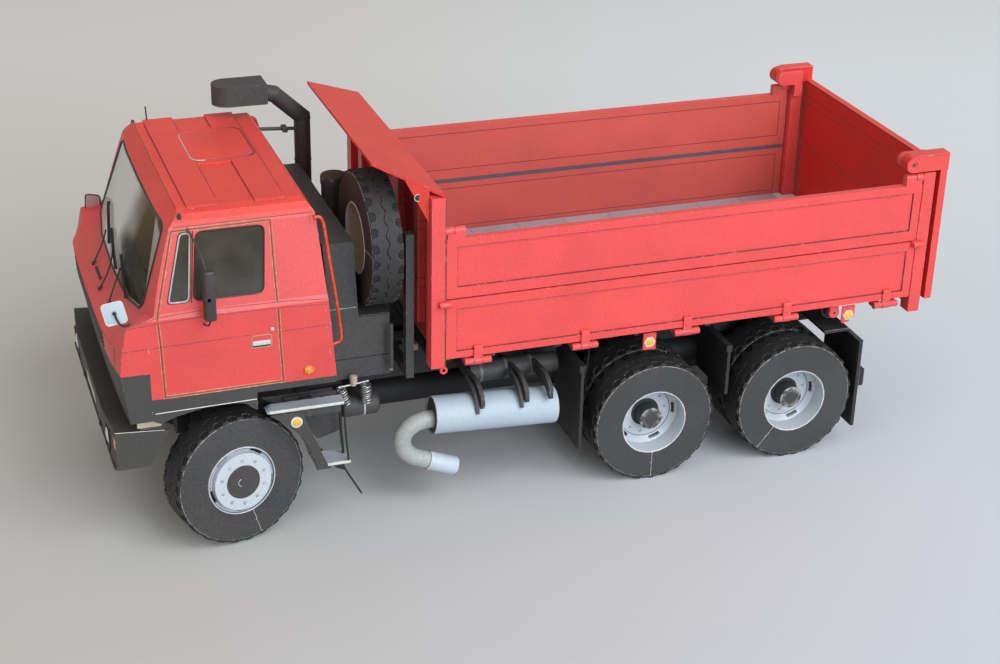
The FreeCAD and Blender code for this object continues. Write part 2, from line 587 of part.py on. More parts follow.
CAB_FRONT = (  # half width, height
    (38.6, 37.0), (38.6, 64.4), (38.0, 65.8), (34.3, 84.8), (33.7, 86.6), (32.4, 87.9), (30.2, 88.6),
)
SIDE_OPENINGS = (  # windows in each cab side: corners as place along the truck, height
    ((88.6, 67.9), (86.8, 84.0), (70.5, 84.0), (71.8, 67.9)),
    ((94.6, 67.9), (90.5, 84.0), (87.9, 84.0), (89.5, 67.9)),
)
SCREEN = ((0.0, 62.4), (20.0, 62.9), (30.8, 64.7), (32.2, 66.6), (30.2, 83.6), (28.6, 84.6))  # half width, height
WHEEL_ARCH = (  # lower edge of the skirt over the front wheel: place along the truck, height
    (110, 38.3), (99.8, 38.3), (98.1, 37.4), (94.3, 38.8), (87.8, 40.1), (81.4, 40.5), (77.4, 39.7), (75.2, 37.8),
    (74.6, 37.8), (74.6, 42.3), (50, 42.3),
)
ROOF_CARD = (  # raised card on the roof: place along the truck, half width on the left, on the right
    (64.5, 71.8, 31.0, -31.0), (71.8, 80.2, 4.6, -20.4), (80.2, 87.8, 31.0, -31.0),
)


def mirrored_ring(points):
    """Closed outline from one half's points, mirrored about the centre line."""
    near = [Vector(*p) for p in points]
    return near + [Vector(p.x, -p.y, p.z) for p in reversed(near) if p.y]


def inset(points, gap):
    """A clockwise outline moved inwards by a gap, edge by edge."""
    moved = []
    for i, here in enumerate(points):
        before = (here - points[i - 1]).normalize()
        after = (points[(i + 1) % len(points)] - here).normalize()
        first, second = Vector(before.z, 0, -before.x), Vector(after.z, 0, -after.x)
        moved.append(here + (first + second) * (gap / (1 + first.dot(second))))
    return moved


def hull(gap):
    """The cab's outside, or its inside when a gap is given."""
    wires = []
    rows = [(-half, profile) for half, profile in CAB_PROFILES[:0:-1]] + list(CAB_PROFILES)
    for across, profile in rows:
        ring = inset([Vector(x, across, z) for x, z in profile], gap) if gap else [
            Vector(x, across, z) for x, z in profile]
        wires.append(Part.makePolygon(ring + ring[:1]))
    long_solid = Part.makeLoft(wires, True, True)
    cross = mirrored_ring([(0, y, z) for y, z in CAB_FRONT])
    cross = Part.Face(Part.makePolygon(cross + cross[:1]))
    cross = cross.makeOffset2D(-gap, 2) if gap else cross
    return long_solid.common(cross.extrude(Vector(200, 0, 0)))


def region(points, half_low, half_high):
    """Part of space over an outline in the side view, between two places across the truck."""
    return prism([Vector(x, half_low, z) for x, z in points], Vector(0, half_high - half_low, 0))


def cab():
    """Hollow cab: base, apron, front, two sides, rear wall, roof and windows."""
    card = value("card")
    below = region(WHEEL_ARCH + ((50, 30), (110, 30)), -60, 60)
    shell = hull(0).cut(hull(card)).cut(below)
    wide = 60
    front_zone = region(((99.8, 30), (99.8, 60.0), (97.0, 65.6), (91.2, 85.4), (88, 100), (120, 100), (120, 30)),
                        -wide, wide)
    roof_zone = region(((50, 85.3), (99, 85.3), (99, 99), (50, 99)), -wide, wide)
    base_zone = region(((50, 30), (99.8, 30), (99.8, 44.0), (50, 44.0)), -wide, wide)
    apron_zone = region(((99.8, 30), (130, 30), (130, 51.4), (99.8, 51.0)), -wide, wide)
    rear_zone = region(((50, 44), (55.9, 44), (57.6, 65), (59.3, 85.3), (50, 85.3)), -wide, wide)
    left_zone = region(((50, 44), (110, 44), (110, 85.3), (50, 85.3)), 0, wide)

    screen = prism(mirrored_ring([(80, y, z) for y, z in SCREEN]), Vector(40, 0, 0))
    windows = [region(corners, 0, wide) for corners in SIDE_OPENINGS]

    base = shell.common(base_zone)
    pan = hull(card).common(Part.makeBox(200, 200, card, Vector(0, -100, 43.2)))
    mounts = [Part.makeBox(4, 2.7, 6.3, Vector(x, y - 1.35, 37.0)) for x in (60, 90) for y in (-12.15, 12.15)]
    keep("cab_base", shaped("cab_base", base.fuse([pan] + mounts)))
    keep("cab_apron", shaped("cab_apron", shell.common(apron_zone)))
    front = shell.common(front_zone).cut(apron_zone).cut(roof_zone)
    keep("cab_front", shaped("cab_front", front.cut(screen)))
    keep("windscreen", shaped("windscreen", front.common(screen)))
    raised = [Part.makeBox(stop - start, left - right, 1.0, Vector(start, right, 88.0))
              for start, stop, left, right in ROOF_CARD]
    keep("cab_roof", shaped("cab_roof", shell.common(roof_zone).fuse(raised)))
    body_shell = shell.cut(roof_zone).cut(front_zone).cut(base_zone).cut(apron_zone)
    rear = body_shell.common(rear_zone)
    keep("cab_rear_wall", shaped("cab_rear_wall", rear))
    left = body_shell.cut(rear_zone).common(left_zone)
    panel = left.cut(windows[0]).cut(windows[1])
    panel = max(panel.Solids, key=lambda solid: solid.Volume)
    keep("cab_side_left", shaped("cab_side_left", panel))
    keep("cab_side_right", shaped("cab_side_right", panel.mirror(Vector(), Vector(0, 1, 0))))
    panes = [left.common(window) for window in windows]
    panes += [pane.mirror(Vector(), Vector(0, 1, 0)) for pane in panes]
    keep("side_windows", shaped("side_windows", Part.makeCompound(panes)))


def cab_interior():
    """Two seats, the dashboard with its wheel, and the engine below."""
    left = fuse("seat_left_solid", [
        block("seat_cushion", (64, 77), (8, 24), (44, 51)),
        block("seat_back", (62, 65.5), (8, 24), (44, 68)),
    ])
    keep("seats", pair("seats", left))
    dash = block("dash", (95, 98), (-30, 30), (44, 59))
    column = rod("steering_column", "x", 0.8, (88, 95.5), y=16, z=57)
    rim = rod("steering_wheel_rim", "x", 5.5, (87.4, 88.4), y=16, z=57)
    keep("dashboard", fuse("dashboard", [dash, column, rim]))
    keep("engine_block", block("engine_block", (56, 84), ("0.8 + 1.9 - rail_y", "rail_y - 2.7"), ("tyre_radius + 7", 39.5)))


# ---------------------------------------------------------------- fittings on the frame
def engine_cover():
    """Housing between cab and bed, with the air filter on it and the snorkel beside it."""
    cover = body("engine_cover")
    corners = [(53.6, "rail_top_z"), (54.2, 62), (55.2, 74), (47.5, 74), (46.5, 54), (38.5, 54), (38.5, "rail_top_z")]
    pad(cover, outline(cover, "XZ_Plane", corners), 56, both=True)
    keep("engine_cover", cover)

    canister = [rod("filter_foot", "z", 1.6, (54, 62), x=43.5, y=-6),
                rod("filter_can", "z", 3.3, (61, 77), x=43.5, y=-6),
                rod("filter_cap", "z", 2.9, (77, 78.6), x=43.5, y=-6)]
    keep("air_filter", fuse("air_filter", canister))

    path = Part.makePolygon([Vector(45.6, -31.0, 45), Vector(45.6, -31.0, 86), Vector(53.5, -29.0, 93.6),
                             Vector(58.0, -28.5, 94.8)])
    pipe = Part.Wire(path.Edges).makePipeShell([Part.Wire(Part.makeCircle(2.2, Vector(45.6, -31, 45)))],
                                               True, False, 1)
    nose = Part.makeCylinder(4.0, 5.4, Vector(66.0, -28.5, 92.4))
    head = Part.makeBox(10.0, 8.0, 5.4, Vector(56.0, -32.5, 92.4)).fuse(nose)
    foot = Part.makeBox(3.2, 5.0, 2.0, Vector(44.0, -33.0, 45.0))
    keep("air_intake", shaped("air_intake", pipe.fuse([head, foot])))


def bumper():
    """Deep front bumper: bowed face, tapering sides and a flat top, open behind."""
    face_x = value("overall_length / 2")
    side = [(95.7, 34.4), (109.8, 35.4), (109.9, 35.4), (face_x, 35.4), (face_x - 0.8, 25.1), (100.9, 25.1)]
    solid = prism([Vector(x, -36.5, z) for x, z in side], Vector(0, 73, 0))
    plan = [Vector(90, -36.5, 20), Vector(face_x - 1.2, -36.5, 20), Vector(face_x, -22, 20),
            Vector(face_x, 22, 20), Vector(face_x - 1.2, 36.5, 20), Vector(90, 36.5, 20)]
    solid = solid.common(prism(plan, Vector(0, 0, 20)))
    hollow = Part.makeBox(20, 71.4, 12, Vector(face_x - 3 - 20, -35.7, 22.6))
    top_gap = Part.makeBox(12, 71.4, 20, Vector(90.5, -35.7, 20))
    pin = Part.makeCylinder(1.2, 6.0, Vector(104.5, 14, 20.6)).fuse(
        Part.makeBox(3.4, 3.4, 2.2, Vector(102.8, 12.3, 24.2)))
    brackets = [Part.makeBox(face_x - 96.8, 2.7, 4.0, Vector(94.0, y - 1.35, 29.6)) for y in (-12.15, 12.15)]
    shape = solid.cut(hollow).cut(top_gap)
    lip = Part.makeBox(8, 71.4, 0.8, Vector(101.5, -35.7, 24.9))
    keep("bumper", shaped("bumper", shape.fuse([lip, pin] + brackets)))


def mirrors():
    """Side mirrors on rods from the gutter, and square front mirrors on short arms."""
    case = Part.makeBox(3.2, 2.0, 12.6, Vector(84.2, 42.0, 65.0))
    rods = []
    for start, stop in ((Vector(88.8, 35.1, 85.6), Vector(86.0, 43.0, 77.0)),
                        (Vector(85.8, 43.0, 66.0), Vector(86.2, 39.3, 63.2))):
        rods.append(Part.makeCylinder(0.5, (stop - start).Length, start, stop - start))
    plate = Part.makeBox(0.6, 7.0, 7.0, Vector(107.0, 32.4, 62.8))
    start, stop = Vector(107.3, 36.4, 65.0), Vector(106.2, 37.3, 61.6)
    arm = Part.makeCylinder(0.45, (stop - start).Length, start, stop - start)
    left = Part.makeCompound([case.fuse(rods), plate.fuse(arm)])
    keep("mirrors", shaped("mirrors", Part.makeCompound([left, left.mirror(Vector(), Vector(0, 1, 0))])))


def steps():
    """Cab steps behind the front wheels: dark brackets and pale treads."""
    outer = region(((71.8, 35.3), (68.0, 33.0), (64.4, 28.5), (61.8, 23.0), (60.0, 17.3), (56.4, 17.3), (60.5, 25),
                    (63.6, 33.0), (53.6, 33.0), (53.6, 35.3)), 36.2, 37.0)
    inner = outer.copy()
    inner.translate(Vector(0, -8.2, 0))
    beam = Part.makeBox(3.0, 23.7, 1.6, Vector(59.5, value("rail_y"), 33.4))
    bottom = Part.makeBox(3.4, 9.0, 0.8, Vector(56.5, 28.0, 17.3))
    bracket = outer.fuse([inner, beam, bottom])
    keep("step_brackets", shaped("step_brackets", Part.makeCompound(
        [bracket, bracket.mirror(Vector(), Vector(0, 1, 0))])))
    tread = Part.makeCompound([Part.makeBox(19.4, 9.6, 0.7, Vector(52.8, 28.0, 35.3)),
                               Part.makeBox(7.0, 7.4, 0.7, Vector(52.6, 28.8, 18.1))])
    keep("step_treads", shaped("step_treads", Part.makeCompound(
        [tread, tread.mirror(Vector(), Vector(0, 1, 0))])))


SILENCER_RADIUS = 4.9


def exhaust():
    """Silencer on three hooks and its tail pipe, which turns back under it."""
    keep("silencer", rod("silencer", "x", SILENCER_RADIUS, (-5, 29), y=33, z=26))
    claw = [(13.5, 36.0), (31.0, 36.0), (36.0, 33.6), (38.4, 30.2), (38.7, 25.6), (37.0, 25.6), (33.0, 27.0),
            (28.5, 29.6), (27.0, 34.2), (13.5, 34.2)]
    drum = Part.makeCylinder(SILENCER_RADIUS + 0.02, 60, Vector(-15, 33, 26), Vector(1, 0, 0))
    claws = [prism([Vector(x - 0.5, y, z) for y, z in claw], Vector(1.0, 0, 0)).cut(drum) for x in (2, 9, 16)]
    keep("silencer_hooks", shaped("silencer_hooks", Part.makeCompound(claws)))
    path = Part.Wire([Part.LineSegment(Vector(29, 33, 24.2), Vector(31.5, 33, 24.2)).toShape(),
                      Part.Arc(Vector(31.5, 33, 24.2), Vector(37.3, 33, 18.4), Vector(31.5, 33, 12.6)).toShape(),
                      Part.LineSegment(Vector(31.5, 33, 12.6), Vector(22.0, 33, 12.6)).toShape()])
    ring = Part.Wire(Part.makeCircle(2.3, Vector(29, 33, 24.2), Vector(1, 0, 0)))
    pipe = path.makePipeShell([ring], True, False, 1)
    keep("exhaust_pipe", shaped("exhaust_pipe", pipe))


def tanks():
    """Air tank on the left, fuel tank on the right."""
    air = fuse("air_tank", [rod("air_can", "x", 2.7, (-8, 16), y=23.2, z=31.3),
                            block("air_mount", (4.4, 6.4), ("rail_y", 22), (30.5, 32.5))])
    keep("air_tank", air)
    tank = body("fuel_tank")
    corners = [(-37.5, 21.5), (-36, 20), (-22, 20), (-20.5, 21.5), (-20.5, 33), (-22, 34.5), (-36, 34.5), (-37.5, 33)]
    pad(tank, outline(tank, "YZ_Plane", corners, -6), 34)
    straps = [block(f"tank_strap_{i}", (x - 1, x + 1), (-21, "-rail_y"), (30, 34)) for i, x in enumerate((2, 20))]
    keep("fuel_tank", fuse("fuel_tank", [tank] + straps))


def mudguards():
    """Flaps ahead of, between and behind the twin wheels, on arms from the frame."""
    parts = []
    for i, (x, low) in enumerate(((-10.2, 12.0), (-51.6, 22.0))):
        flap = fuse(f"flap_{i}", [block(f"flap_plate_{i}", (x - 0.4, x + 0.4), (19.2, 37.8), (low, 36.4)),
                                  block(f"flap_arm_{i}", (x - 0.8, x + 0.8), ("rail_y", 37.8), (34.6, 36.4))])
        parts += [flap, mirror(f"flap_{i}_right", flap)]
    profile = region(((-79.5, 36.8), (-86.8, 36.8), (-91.6, 32.4), (-91.6, 6.3), (-90.6, 6.3), (-90.6, 32.0),
                      (-86.4, 36.0), (-79.5, 36.0)), 19.2, 38.0)
    arm = Part.makeBox(2.4, 8.0, 1.8, Vector(-86.6, value("rail_y"), 34.4))
    lamp = Part.makeBox(2.6, 7.0, 5.0, Vector(-94.2, 29.0, 17.4))
    left = profile.fuse([arm, lamp])
    flap = shaped("rear_guard", left)
    flap_right = mirror("rear_guard_right", flap)
    keep("mudguards", group("mudguards", parts + [flap, flap_right]))


def fittings():
    """Everything else that the frame carries."""
    engine_cover()
    bumper()
    mirrors()
    steps()
    exhaust()
    tanks()
    mudguards()


# ---------------------------------------------------------------- build and write
def check(objects):
    """Stop on any failed object or invalid sub-part."""
    for obj in doc.Objects:
        if any(word in ("Invalid", "Error") for word in obj.State):
            raise RuntimeError(f"{obj.Label} failed: {obj.State}")
    for name, obj in objects.items():
        if obj.Shape.isNull() or not obj.Shape.isValid():
            raise RuntimeError(f"{name} has no valid shape")


def main():
    """Build the whole truck and write one file for each node."""
    wheels()
    spare_wheel()
    driveline()
    for side_name, side in (("left", 1), ("right", -1)):
        knuckle(side_name, side)
    frame()
    hoist()
    bed()
    cab()
    cab_interior()
    fittings()
    doc.recompute()
    check(nodes)
    os.makedirs("parts", exist_ok=True)
    for name, obj in nodes.items():
        obj.Shape.exportStep(f"parts/{name}.step")
        print(f"{name:24s} solids {len(obj.Shape.Solids):2d}  volume {obj.Shape.Volume:9.1f}")


main()
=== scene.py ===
"""Finishes, studio and fine detail for a card model of a six-wheel tipper truck.

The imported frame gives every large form. This script dresses those forms in printed card,
rolls real tread round the wheels, and adds the wires, nuts, seams, lamps and fittings.
Pieces are modelled in millimetres in the truck's own frame, then turned into metres.
"""
from __future__ import annotations

import json
import logging
import math
from collections.abc import Callable, Iterable, Sequence
from dataclasses import dataclass, field
from enum import Enum
from typing import Protocol

import bmesh
import bpy
from mathutils import Matrix, Vector

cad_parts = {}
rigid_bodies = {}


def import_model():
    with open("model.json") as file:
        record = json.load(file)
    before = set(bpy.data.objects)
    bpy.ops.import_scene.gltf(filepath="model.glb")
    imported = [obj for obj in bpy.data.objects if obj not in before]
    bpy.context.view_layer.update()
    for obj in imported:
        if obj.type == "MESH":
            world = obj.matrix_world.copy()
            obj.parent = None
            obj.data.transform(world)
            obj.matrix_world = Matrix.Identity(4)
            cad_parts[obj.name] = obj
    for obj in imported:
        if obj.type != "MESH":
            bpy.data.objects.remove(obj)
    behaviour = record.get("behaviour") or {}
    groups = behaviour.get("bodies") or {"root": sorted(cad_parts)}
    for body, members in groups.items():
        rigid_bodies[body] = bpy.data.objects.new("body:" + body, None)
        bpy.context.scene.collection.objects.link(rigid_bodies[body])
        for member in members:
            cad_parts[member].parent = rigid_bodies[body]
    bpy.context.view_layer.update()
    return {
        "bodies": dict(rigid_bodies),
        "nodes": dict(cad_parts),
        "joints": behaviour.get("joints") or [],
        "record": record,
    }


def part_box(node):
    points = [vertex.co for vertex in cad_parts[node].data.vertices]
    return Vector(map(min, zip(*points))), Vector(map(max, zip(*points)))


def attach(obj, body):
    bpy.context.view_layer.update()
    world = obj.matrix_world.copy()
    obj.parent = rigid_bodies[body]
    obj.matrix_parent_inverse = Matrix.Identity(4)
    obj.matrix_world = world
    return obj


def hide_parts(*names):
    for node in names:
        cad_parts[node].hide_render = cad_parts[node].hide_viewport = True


log = logging.getLogger("tipper")

MM = 0.001
Point = Sequence[float]
Test = Callable[[Vector, Vector], bool]
Colour = tuple[float, float, float]


# ------------------------------------------------------------------ the workbench
class Kind(Enum):
    """What a selection is made of."""

    VERT = "VERT"
    EDGE = "EDGE"
    FACE = "FACE"


class Axis(Enum):
    """Direction that a drum or lathe stands along, with the turn that takes Z there."""

    X = (0.0, math.pi / 2, 0.0)
    Y = (-math.pi / 2, 0.0, 0.0)
    Z = (0.0, 0.0, 0.0)


def put_down() -> None:
    """Leave edit mode and deselect every object."""
    active = bpy.context.view_layer.objects.active
    if active and active.mode != "OBJECT":
        bpy.ops.object.mode_set(mode="OBJECT")
    bpy.ops.object.select_all(action="DESELECT")


class Piece:
    """One mesh on the bench, in millimetres, shaped with the editor's own tools."""

    def __init__(self, obj: bpy.types.Object, name: str) -> None:
        """Take an object onto the bench under a name."""
        self.obj = obj
        self.rename(name)

    def rename(self, name: str) -> Piece:
        """Name the object and its mesh."""
        self.obj.name = self.obj.data.name = name
        return self

    # ---- starting shapes
    @classmethod
    def block(cls, name: str, low: Point, high: Point) -> Piece:
        """Box between two corners.

        Args:
            name: the piece's name.
            low: lowest corner.
            high: highest corner.

        Returns:
            The new piece.
        """
        put_down()
        middle = [(a + b) / 2 for a, b in zip(low, high)]
        size = [b - a for a, b in zip(low, high)]
        bpy.ops.mesh.primitive_cube_add(size=1, location=middle, scale=size)
        return cls(bpy.context.active_object, name).settle()

    @classmethod
    def drum(cls, name: str, centre: Point, radius: float, length: float, axis: Axis = Axis.Z,
             sides: int = 32, top: float | None = None) -> Piece:
        """Cylinder or cone about its centre.

        Args:
            name: the piece's name.
            centre: middle of the drum.
            radius: radius, at the low end when top is given.
            length: length along the axis.
            axis: direction it stands along.
            sides: number of sides.
            top: radius at the high end, for a cone.

        Returns:
            The new piece.
        """
        put_down()
        bpy.ops.mesh.primitive_cone_add(vertices=sides, radius1=radius,
                                        radius2=radius if top is None else top,
                                        depth=length, location=centre, rotation=axis.value)
        return cls(bpy.context.active_object, name).settle()

    @classmethod
    def ball(cls, name: str, centre: Point, radius: float, scale: Point = (1, 1, 1),
             sides: int = 20) -> Piece:
        """Sphere, squashed by a scale along each axis."""
        put_down()
        bpy.ops.mesh.primitive_uv_sphere_add(segments=sides, ring_count=sides // 2, radius=radius,
                                             location=centre, scale=scale)
        return cls(bpy.context.active_object, name).settle()

    @classmethod
    def hoop(cls, name: str, centre: Point, radius: float, thick: float, axis: Axis = Axis.Y,
             sides: int = 48) -> Piece:
        """Torus of a round wire."""
        put_down()
        bpy.ops.mesh.primitive_torus_add(major_radius=radius, minor_radius=thick, major_segments=sides,
                                         minor_segments=8, location=centre, rotation=axis.value)
        return cls(bpy.context.active_object, name).settle()

    @classmethod
    def outline(cls, name: str, corners: Sequence[Point], push: Point) -> Piece:
        """Flat card cut to an outline and given its thickness.

        Args:
            name: the piece's name.
            corners: the outline's corners in order.
            push: the direction and depth that the outline is pulled through.

        Returns:
            The new piece.
        """
        piece = cls.thread(name, list(corners) + [corners[0]])
        with piece.editing(Kind.VERT):
            bpy.ops.mesh.select_all(action="SELECT")
            bpy.ops.mesh.remove_doubles(threshold=0.001)
            bpy.ops.mesh.edge_face_add()
            bpy.ops.mesh.extrude_region_move(TRANSFORM_OT_translate={"value": push})
            bpy.ops.mesh.select_all(action="SELECT")
            bpy.ops.mesh.normals_make_consistent(inside=False)
        return piece

    @classmethod
    def thread(cls, name: str, points: Sequence[Point]) -> Piece:
        """Chain of edges drawn out point by point from one vertex."""
        put_down()
        bpy.ops.mesh.primitive_plane_add(size=1)
        piece = cls(bpy.context.active_object, name)
        with piece.editing(Kind.VERT):
            bpy.ops.mesh.select_all(action="SELECT")
            bpy.ops.mesh.merge(type="CENTER")
            bpy.ops.transform.translate(value=Vector(points[0]))
            for start, stop in zip(points, points[1:]):
                step = Vector(stop) - Vector(start)
                bpy.ops.mesh.extrude_region_move(TRANSFORM_OT_translate={"value": step})
        return piece

    @classmethod
    def lathe(cls, name: str, profile: Sequence[tuple[float, float]], steps: int = 60) -> Piece:
        """Solid turned about the Y axis.

        Args:
            name: the piece's name.
            profile: radius and place along the axis of each corner.
            steps: flats round the turn.

        Returns:
            The new piece, about the origin.
        """
        piece = cls.thread(name, [(radius, along, 0) for radius, along in profile])
        with piece.editing(Kind.VERT):
            bpy.ops.mesh.select_all(action="SELECT")
            bpy.ops.mesh.spin(steps=steps, angle=math.tau, center=(0, 0, 0), axis=(0, 1, 0))
            bpy.ops.mesh.select_all(action="SELECT")
            bpy.ops.mesh.remove_doubles(threshold=0.002)
            bpy.ops.mesh.normals_make_consistent(inside=False)
        return piece

    @classmethod
    def wire(cls, name: str, points: Sequence[Point], radius: float, smooth: bool = False,
             closed: bool = False,
             sides: int = 2) -> Piece:
        """Round wire through points.

        Args:
            name: the piece's name.
            points: the line it follows.
            radius: its radius.
            smooth: whether its corners are rounded into one curve.
            closed: whether its end meets its start.
            sides: how finely its section is rounded.

        Returns:
            The new piece.
        """
        put_down()
        bpy.ops.curve.primitive_nurbs_path_add()
        obj = bpy.context.active_object
        curve = obj.data
        curve.splines.clear()
        line = curve.splines.new("NURBS" if smooth else "POLY")
        line.points.add(len(points) - 1)
        for knot, point in zip(line.points, points):
            knot.co = (*point, 1)
        line.use_cyclic_u = closed
        if smooth:
            line.order_u = 3
            line.use_endpoint_u = not closed
        curve.dimensions = "3D"
        curve.resolution_u = 6
        curve.bevel_depth = radius
        curve.bevel_resolution = sides
        curve.use_fill_caps = not closed
        bpy.ops.object.convert(target="MESH")
        return cls(bpy.context.active_object, name).settle()

    # ---- shaping
    def take(self) -> None:
        """Make this the only selected object."""
        put_down()
        self.obj.select_set(True)
        bpy.context.view_layer.objects.active = self.obj

    def settle(self) -> Piece:
        """Move the object's place, turn and scale into its mesh."""
        self.take()
        bpy.ops.object.transform_apply(location=True, rotation=True, scale=True)
        return self

    def editing(self, kind: Kind = Kind.FACE) -> Editing:
        """A visit to edit mode with nothing selected."""
        return Editing(self, kind)

    def pick(self, test: Test, kind: Kind = Kind.FACE) -> int:
        """Select by place and direction while editing.

        Args:
            test: says yes from an element's middle and its normal (an edge's direction).
            kind: what to select.

        Returns:
            How many were selected.
        """
        mesh = bmesh.from_edit_mesh(self.obj.data)
        for part in (*mesh.faces, *mesh.edges, *mesh.verts):
            part.select = False
        parts = {Kind.FACE: mesh.faces, Kind.EDGE: mesh.edges, Kind.VERT: mesh.verts}[kind]
        chosen = [part for part in parts if test(*middle_and_way(part))]
        for part in chosen:
            part.select_set(True)
        bmesh.update_edit_mesh(self.obj.data)
        return len(chosen)

    def act(self, test: Test, tool: Callable[..., object], kind: Kind = Kind.FACE,
            **settings: object) -> Piece:
        """Use one of the editor's tools on the chosen parts, where there are any."""
        with self.editing(kind):
            if self.pick(test, kind):
                tool(**settings)
        return self

    def push(self, test: Test, step: Point) -> Piece:
        """Extrude the chosen faces by a step."""
        return self.act(test, bpy.ops.mesh.extrude_region_move,
                        TRANSFORM_OT_translate={"value": Vector(step)})

    def inset(self, test: Test, thickness: float, depth: float = 0.0) -> Piece:
        """Inset the chosen faces and sink or raise them."""
        return self.act(test, bpy.ops.mesh.inset, thickness=thickness, depth=depth)

    def shift(self, test: Test, step: Point) -> Piece:
        """Move the chosen vertices by a step."""
        return self.act(test, bpy.ops.transform.translate, Kind.VERT, value=Vector(step))

    def slice(self, point: Point, normal: Point) -> Piece:
        """Cut a loop of edges where a plane crosses the piece."""
        with self.editing():
            bpy.ops.mesh.select_all(action="SELECT")
            bpy.ops.mesh.bisect(plane_co=point, plane_no=normal)
        return self

    def coat(self, *finishes: Finish) -> Piece:
        """Add finishes to the piece's slots; the first one covers it."""
        for finish in finishes:
            self.obj.data.materials.append(finish.material())
        return self

    def paint(self, test: Test, finish: Finish) -> Piece:
        """Give the chosen faces a further finish."""
        self.coat(finish)
        self.obj.active_material_index = len(self.obj.data.materials) - 1
        return self.act(test, bpy.ops.object.material_slot_assign)

    def modify(self, kind: str, **settings: object) -> Piece:
        """Add a modifier and apply it."""
        self.take()
        modifier = self.obj.modifiers.new(kind.lower(), kind)
        for key, setting in settings.items():
            setattr(modifier, key, setting)
        bpy.ops.object.modifier_apply(modifier=modifier.name)
        return self

    def round(self, width: float, steps: int = 2, angle: float = 30) -> Piece:
        """Round every edge sharper than an angle."""
        return self.modify("BEVEL", width=width, segments=steps, limit_method="ANGLE",
                           angle_limit=math.radians(angle),
                           harden_normals=False)

    def place(self, matrix: Matrix) -> Piece:
        """Move the mesh by a matrix."""
        self.obj.matrix_world = matrix
        return self.settle()

    def copy(self, name: str) -> Piece:
        """A second piece with its own mesh."""
        self.take()
        bpy.ops.object.duplicate(linked=False)
        return Piece(bpy.context.active_object, name)

    def mirrored(self, name: str) -> Piece:
        """The same piece on the truck's other side."""
        twin = self.copy(name)
        twin.obj.scale = (1, -1, 1)
        twin.settle()
        with twin.editing():
            bpy.ops.mesh.select_all(action="SELECT")
            bpy.ops.mesh.normals_make_consistent(inside=False)
        return twin

    def join(self, others: Iterable[Piece]) -> Piece:
        """Take other pieces into this one."""
        others = list(others)
        if others:
            self.take()
            for other in others:
                other.obj.select_set(True)
            bpy.context.view_layer.objects.active = self.obj
            bpy.ops.object.join()
        return self

    def done(self, finish: Finish | None, body: str = "chassis", smooth: float = 35.0, node: str = "",
             slot: str = "") -> bpy.types.Object:
        """Turn the piece into metres, dress it and let it ride.

        Args:
            finish: its finish, or None where its faces already have one.
            body: the CAD body that it moves with.
            smooth: edges sharper than this many degrees stay sharp.
            node: the CAD node whose place it takes, where there is one.
            slot: the record's slot that it belongs to, where it has no single finish; not used.

        Returns:
            The finished object.
        """
        self.obj.scale = (MM, MM, MM)
        self.settle()
        bpy.ops.object.shade_smooth_by_angle(angle=math.radians(smooth))
        if finish:
            self.coat(finish)
        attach(self.obj, body)
        if node:
            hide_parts(node)
        put_down()
        log.info("%-26s %6d faces on %s", self.obj.name, len(self.obj.data.polygons), body)
        return self.obj


class Editing:
    """Edit mode as a with block."""

    def __init__(self, piece: Piece, kind: Kind) -> None:
        """Remember the piece and the kind of selection."""
        self.piece, self.kind = piece, kind

    def __enter__(self) -> None:
        """Open edit mode with nothing selected."""
        self.piece.take()
        bpy.ops.object.mode_set(mode="EDIT")
        bpy.ops.mesh.select_mode(type=self.kind.value)
        bpy.ops.mesh.select_all(action="DESELECT")

    def __exit__(self, *_: object) -> None:
        """Go back to object mode."""
        bpy.ops.object.mode_set(mode="OBJECT")


def middle_and_way(part: bmesh.types.BMVert | bmesh.types.BMEdge | bmesh.types.BMFace) -> tuple[Vector,
                                                                                                Vector]:
    """Where a mesh's element is and which way it faces.

    Args:
        part: a vertex, an edge or a face.

    Returns:
        Its middle, and its normal or the direction of the edge.
    """
    if isinstance(part, bmesh.types.BMFace):
        return part.calc_center_median(), part.normal
    if isinstance(part, bmesh.types.BMEdge):
        a, b = (vert.co for vert in part.verts)
        return (a + b) / 2, (b - a).normalized()
    return part.co, part.normal


def stood(spot: Point, degrees: float = 0.0, axis: str = "Z") -> Matrix:
    """Place of a piece that is turned about one axis and then moved to a spot."""
    return Matrix.Translation(spot) @ Matrix.Rotation(math.radians(degrees), 4, axis)


def axle(spot: Point, along: Point, up: Point = (0, 0, 1)) -> Matrix:
    """Place of a piece whose own Y points along a direction.

    Args:
        spot: where its middle stands.
        along: the direction of its Y.
        up: a direction that its X is square to, other than along.

    Returns:
        The matrix, in millimetres.
    """
    way = Vector(along).normalized()
    side = way.cross(Vector(up)).normalized()
    matrix = Matrix((side, way, side.cross(way))).transposed().to_4x4()
    matrix.translation = Vector(spot)
    return matrix


def box_mm(node: str) -> tuple[Vector, Vector]:
    """Lowest and highest corners of a CAD node, in millimetres."""
    low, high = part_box(node)
    return low / MM, high / MM


def onto(nodes: Sequence[str], start: Point, direction: Point, lift: float = 0.0) -> Vector:
    """Where a ray first meets some CAD nodes.

    Args:
        nodes: names of the CAD nodes to meet.
        start: where the ray starts, in millimetres.
        direction: where it goes.
        lift: how far back along the ray the answer is, in millimetres.

    Returns:
        The meeting point in millimetres, or the start where nothing is met.
    """
    origin, way = Vector(start) * MM, Vector(direction).normalized()
    best, where = math.inf, Vector(start)
    for name in nodes:
        found, spot, _, _ = bpy.data.objects[name].ray_cast(origin, way)
        if found and (spot - origin).length < best:
            best, where = (spot - origin).length, spot / MM - way * lift
    return where


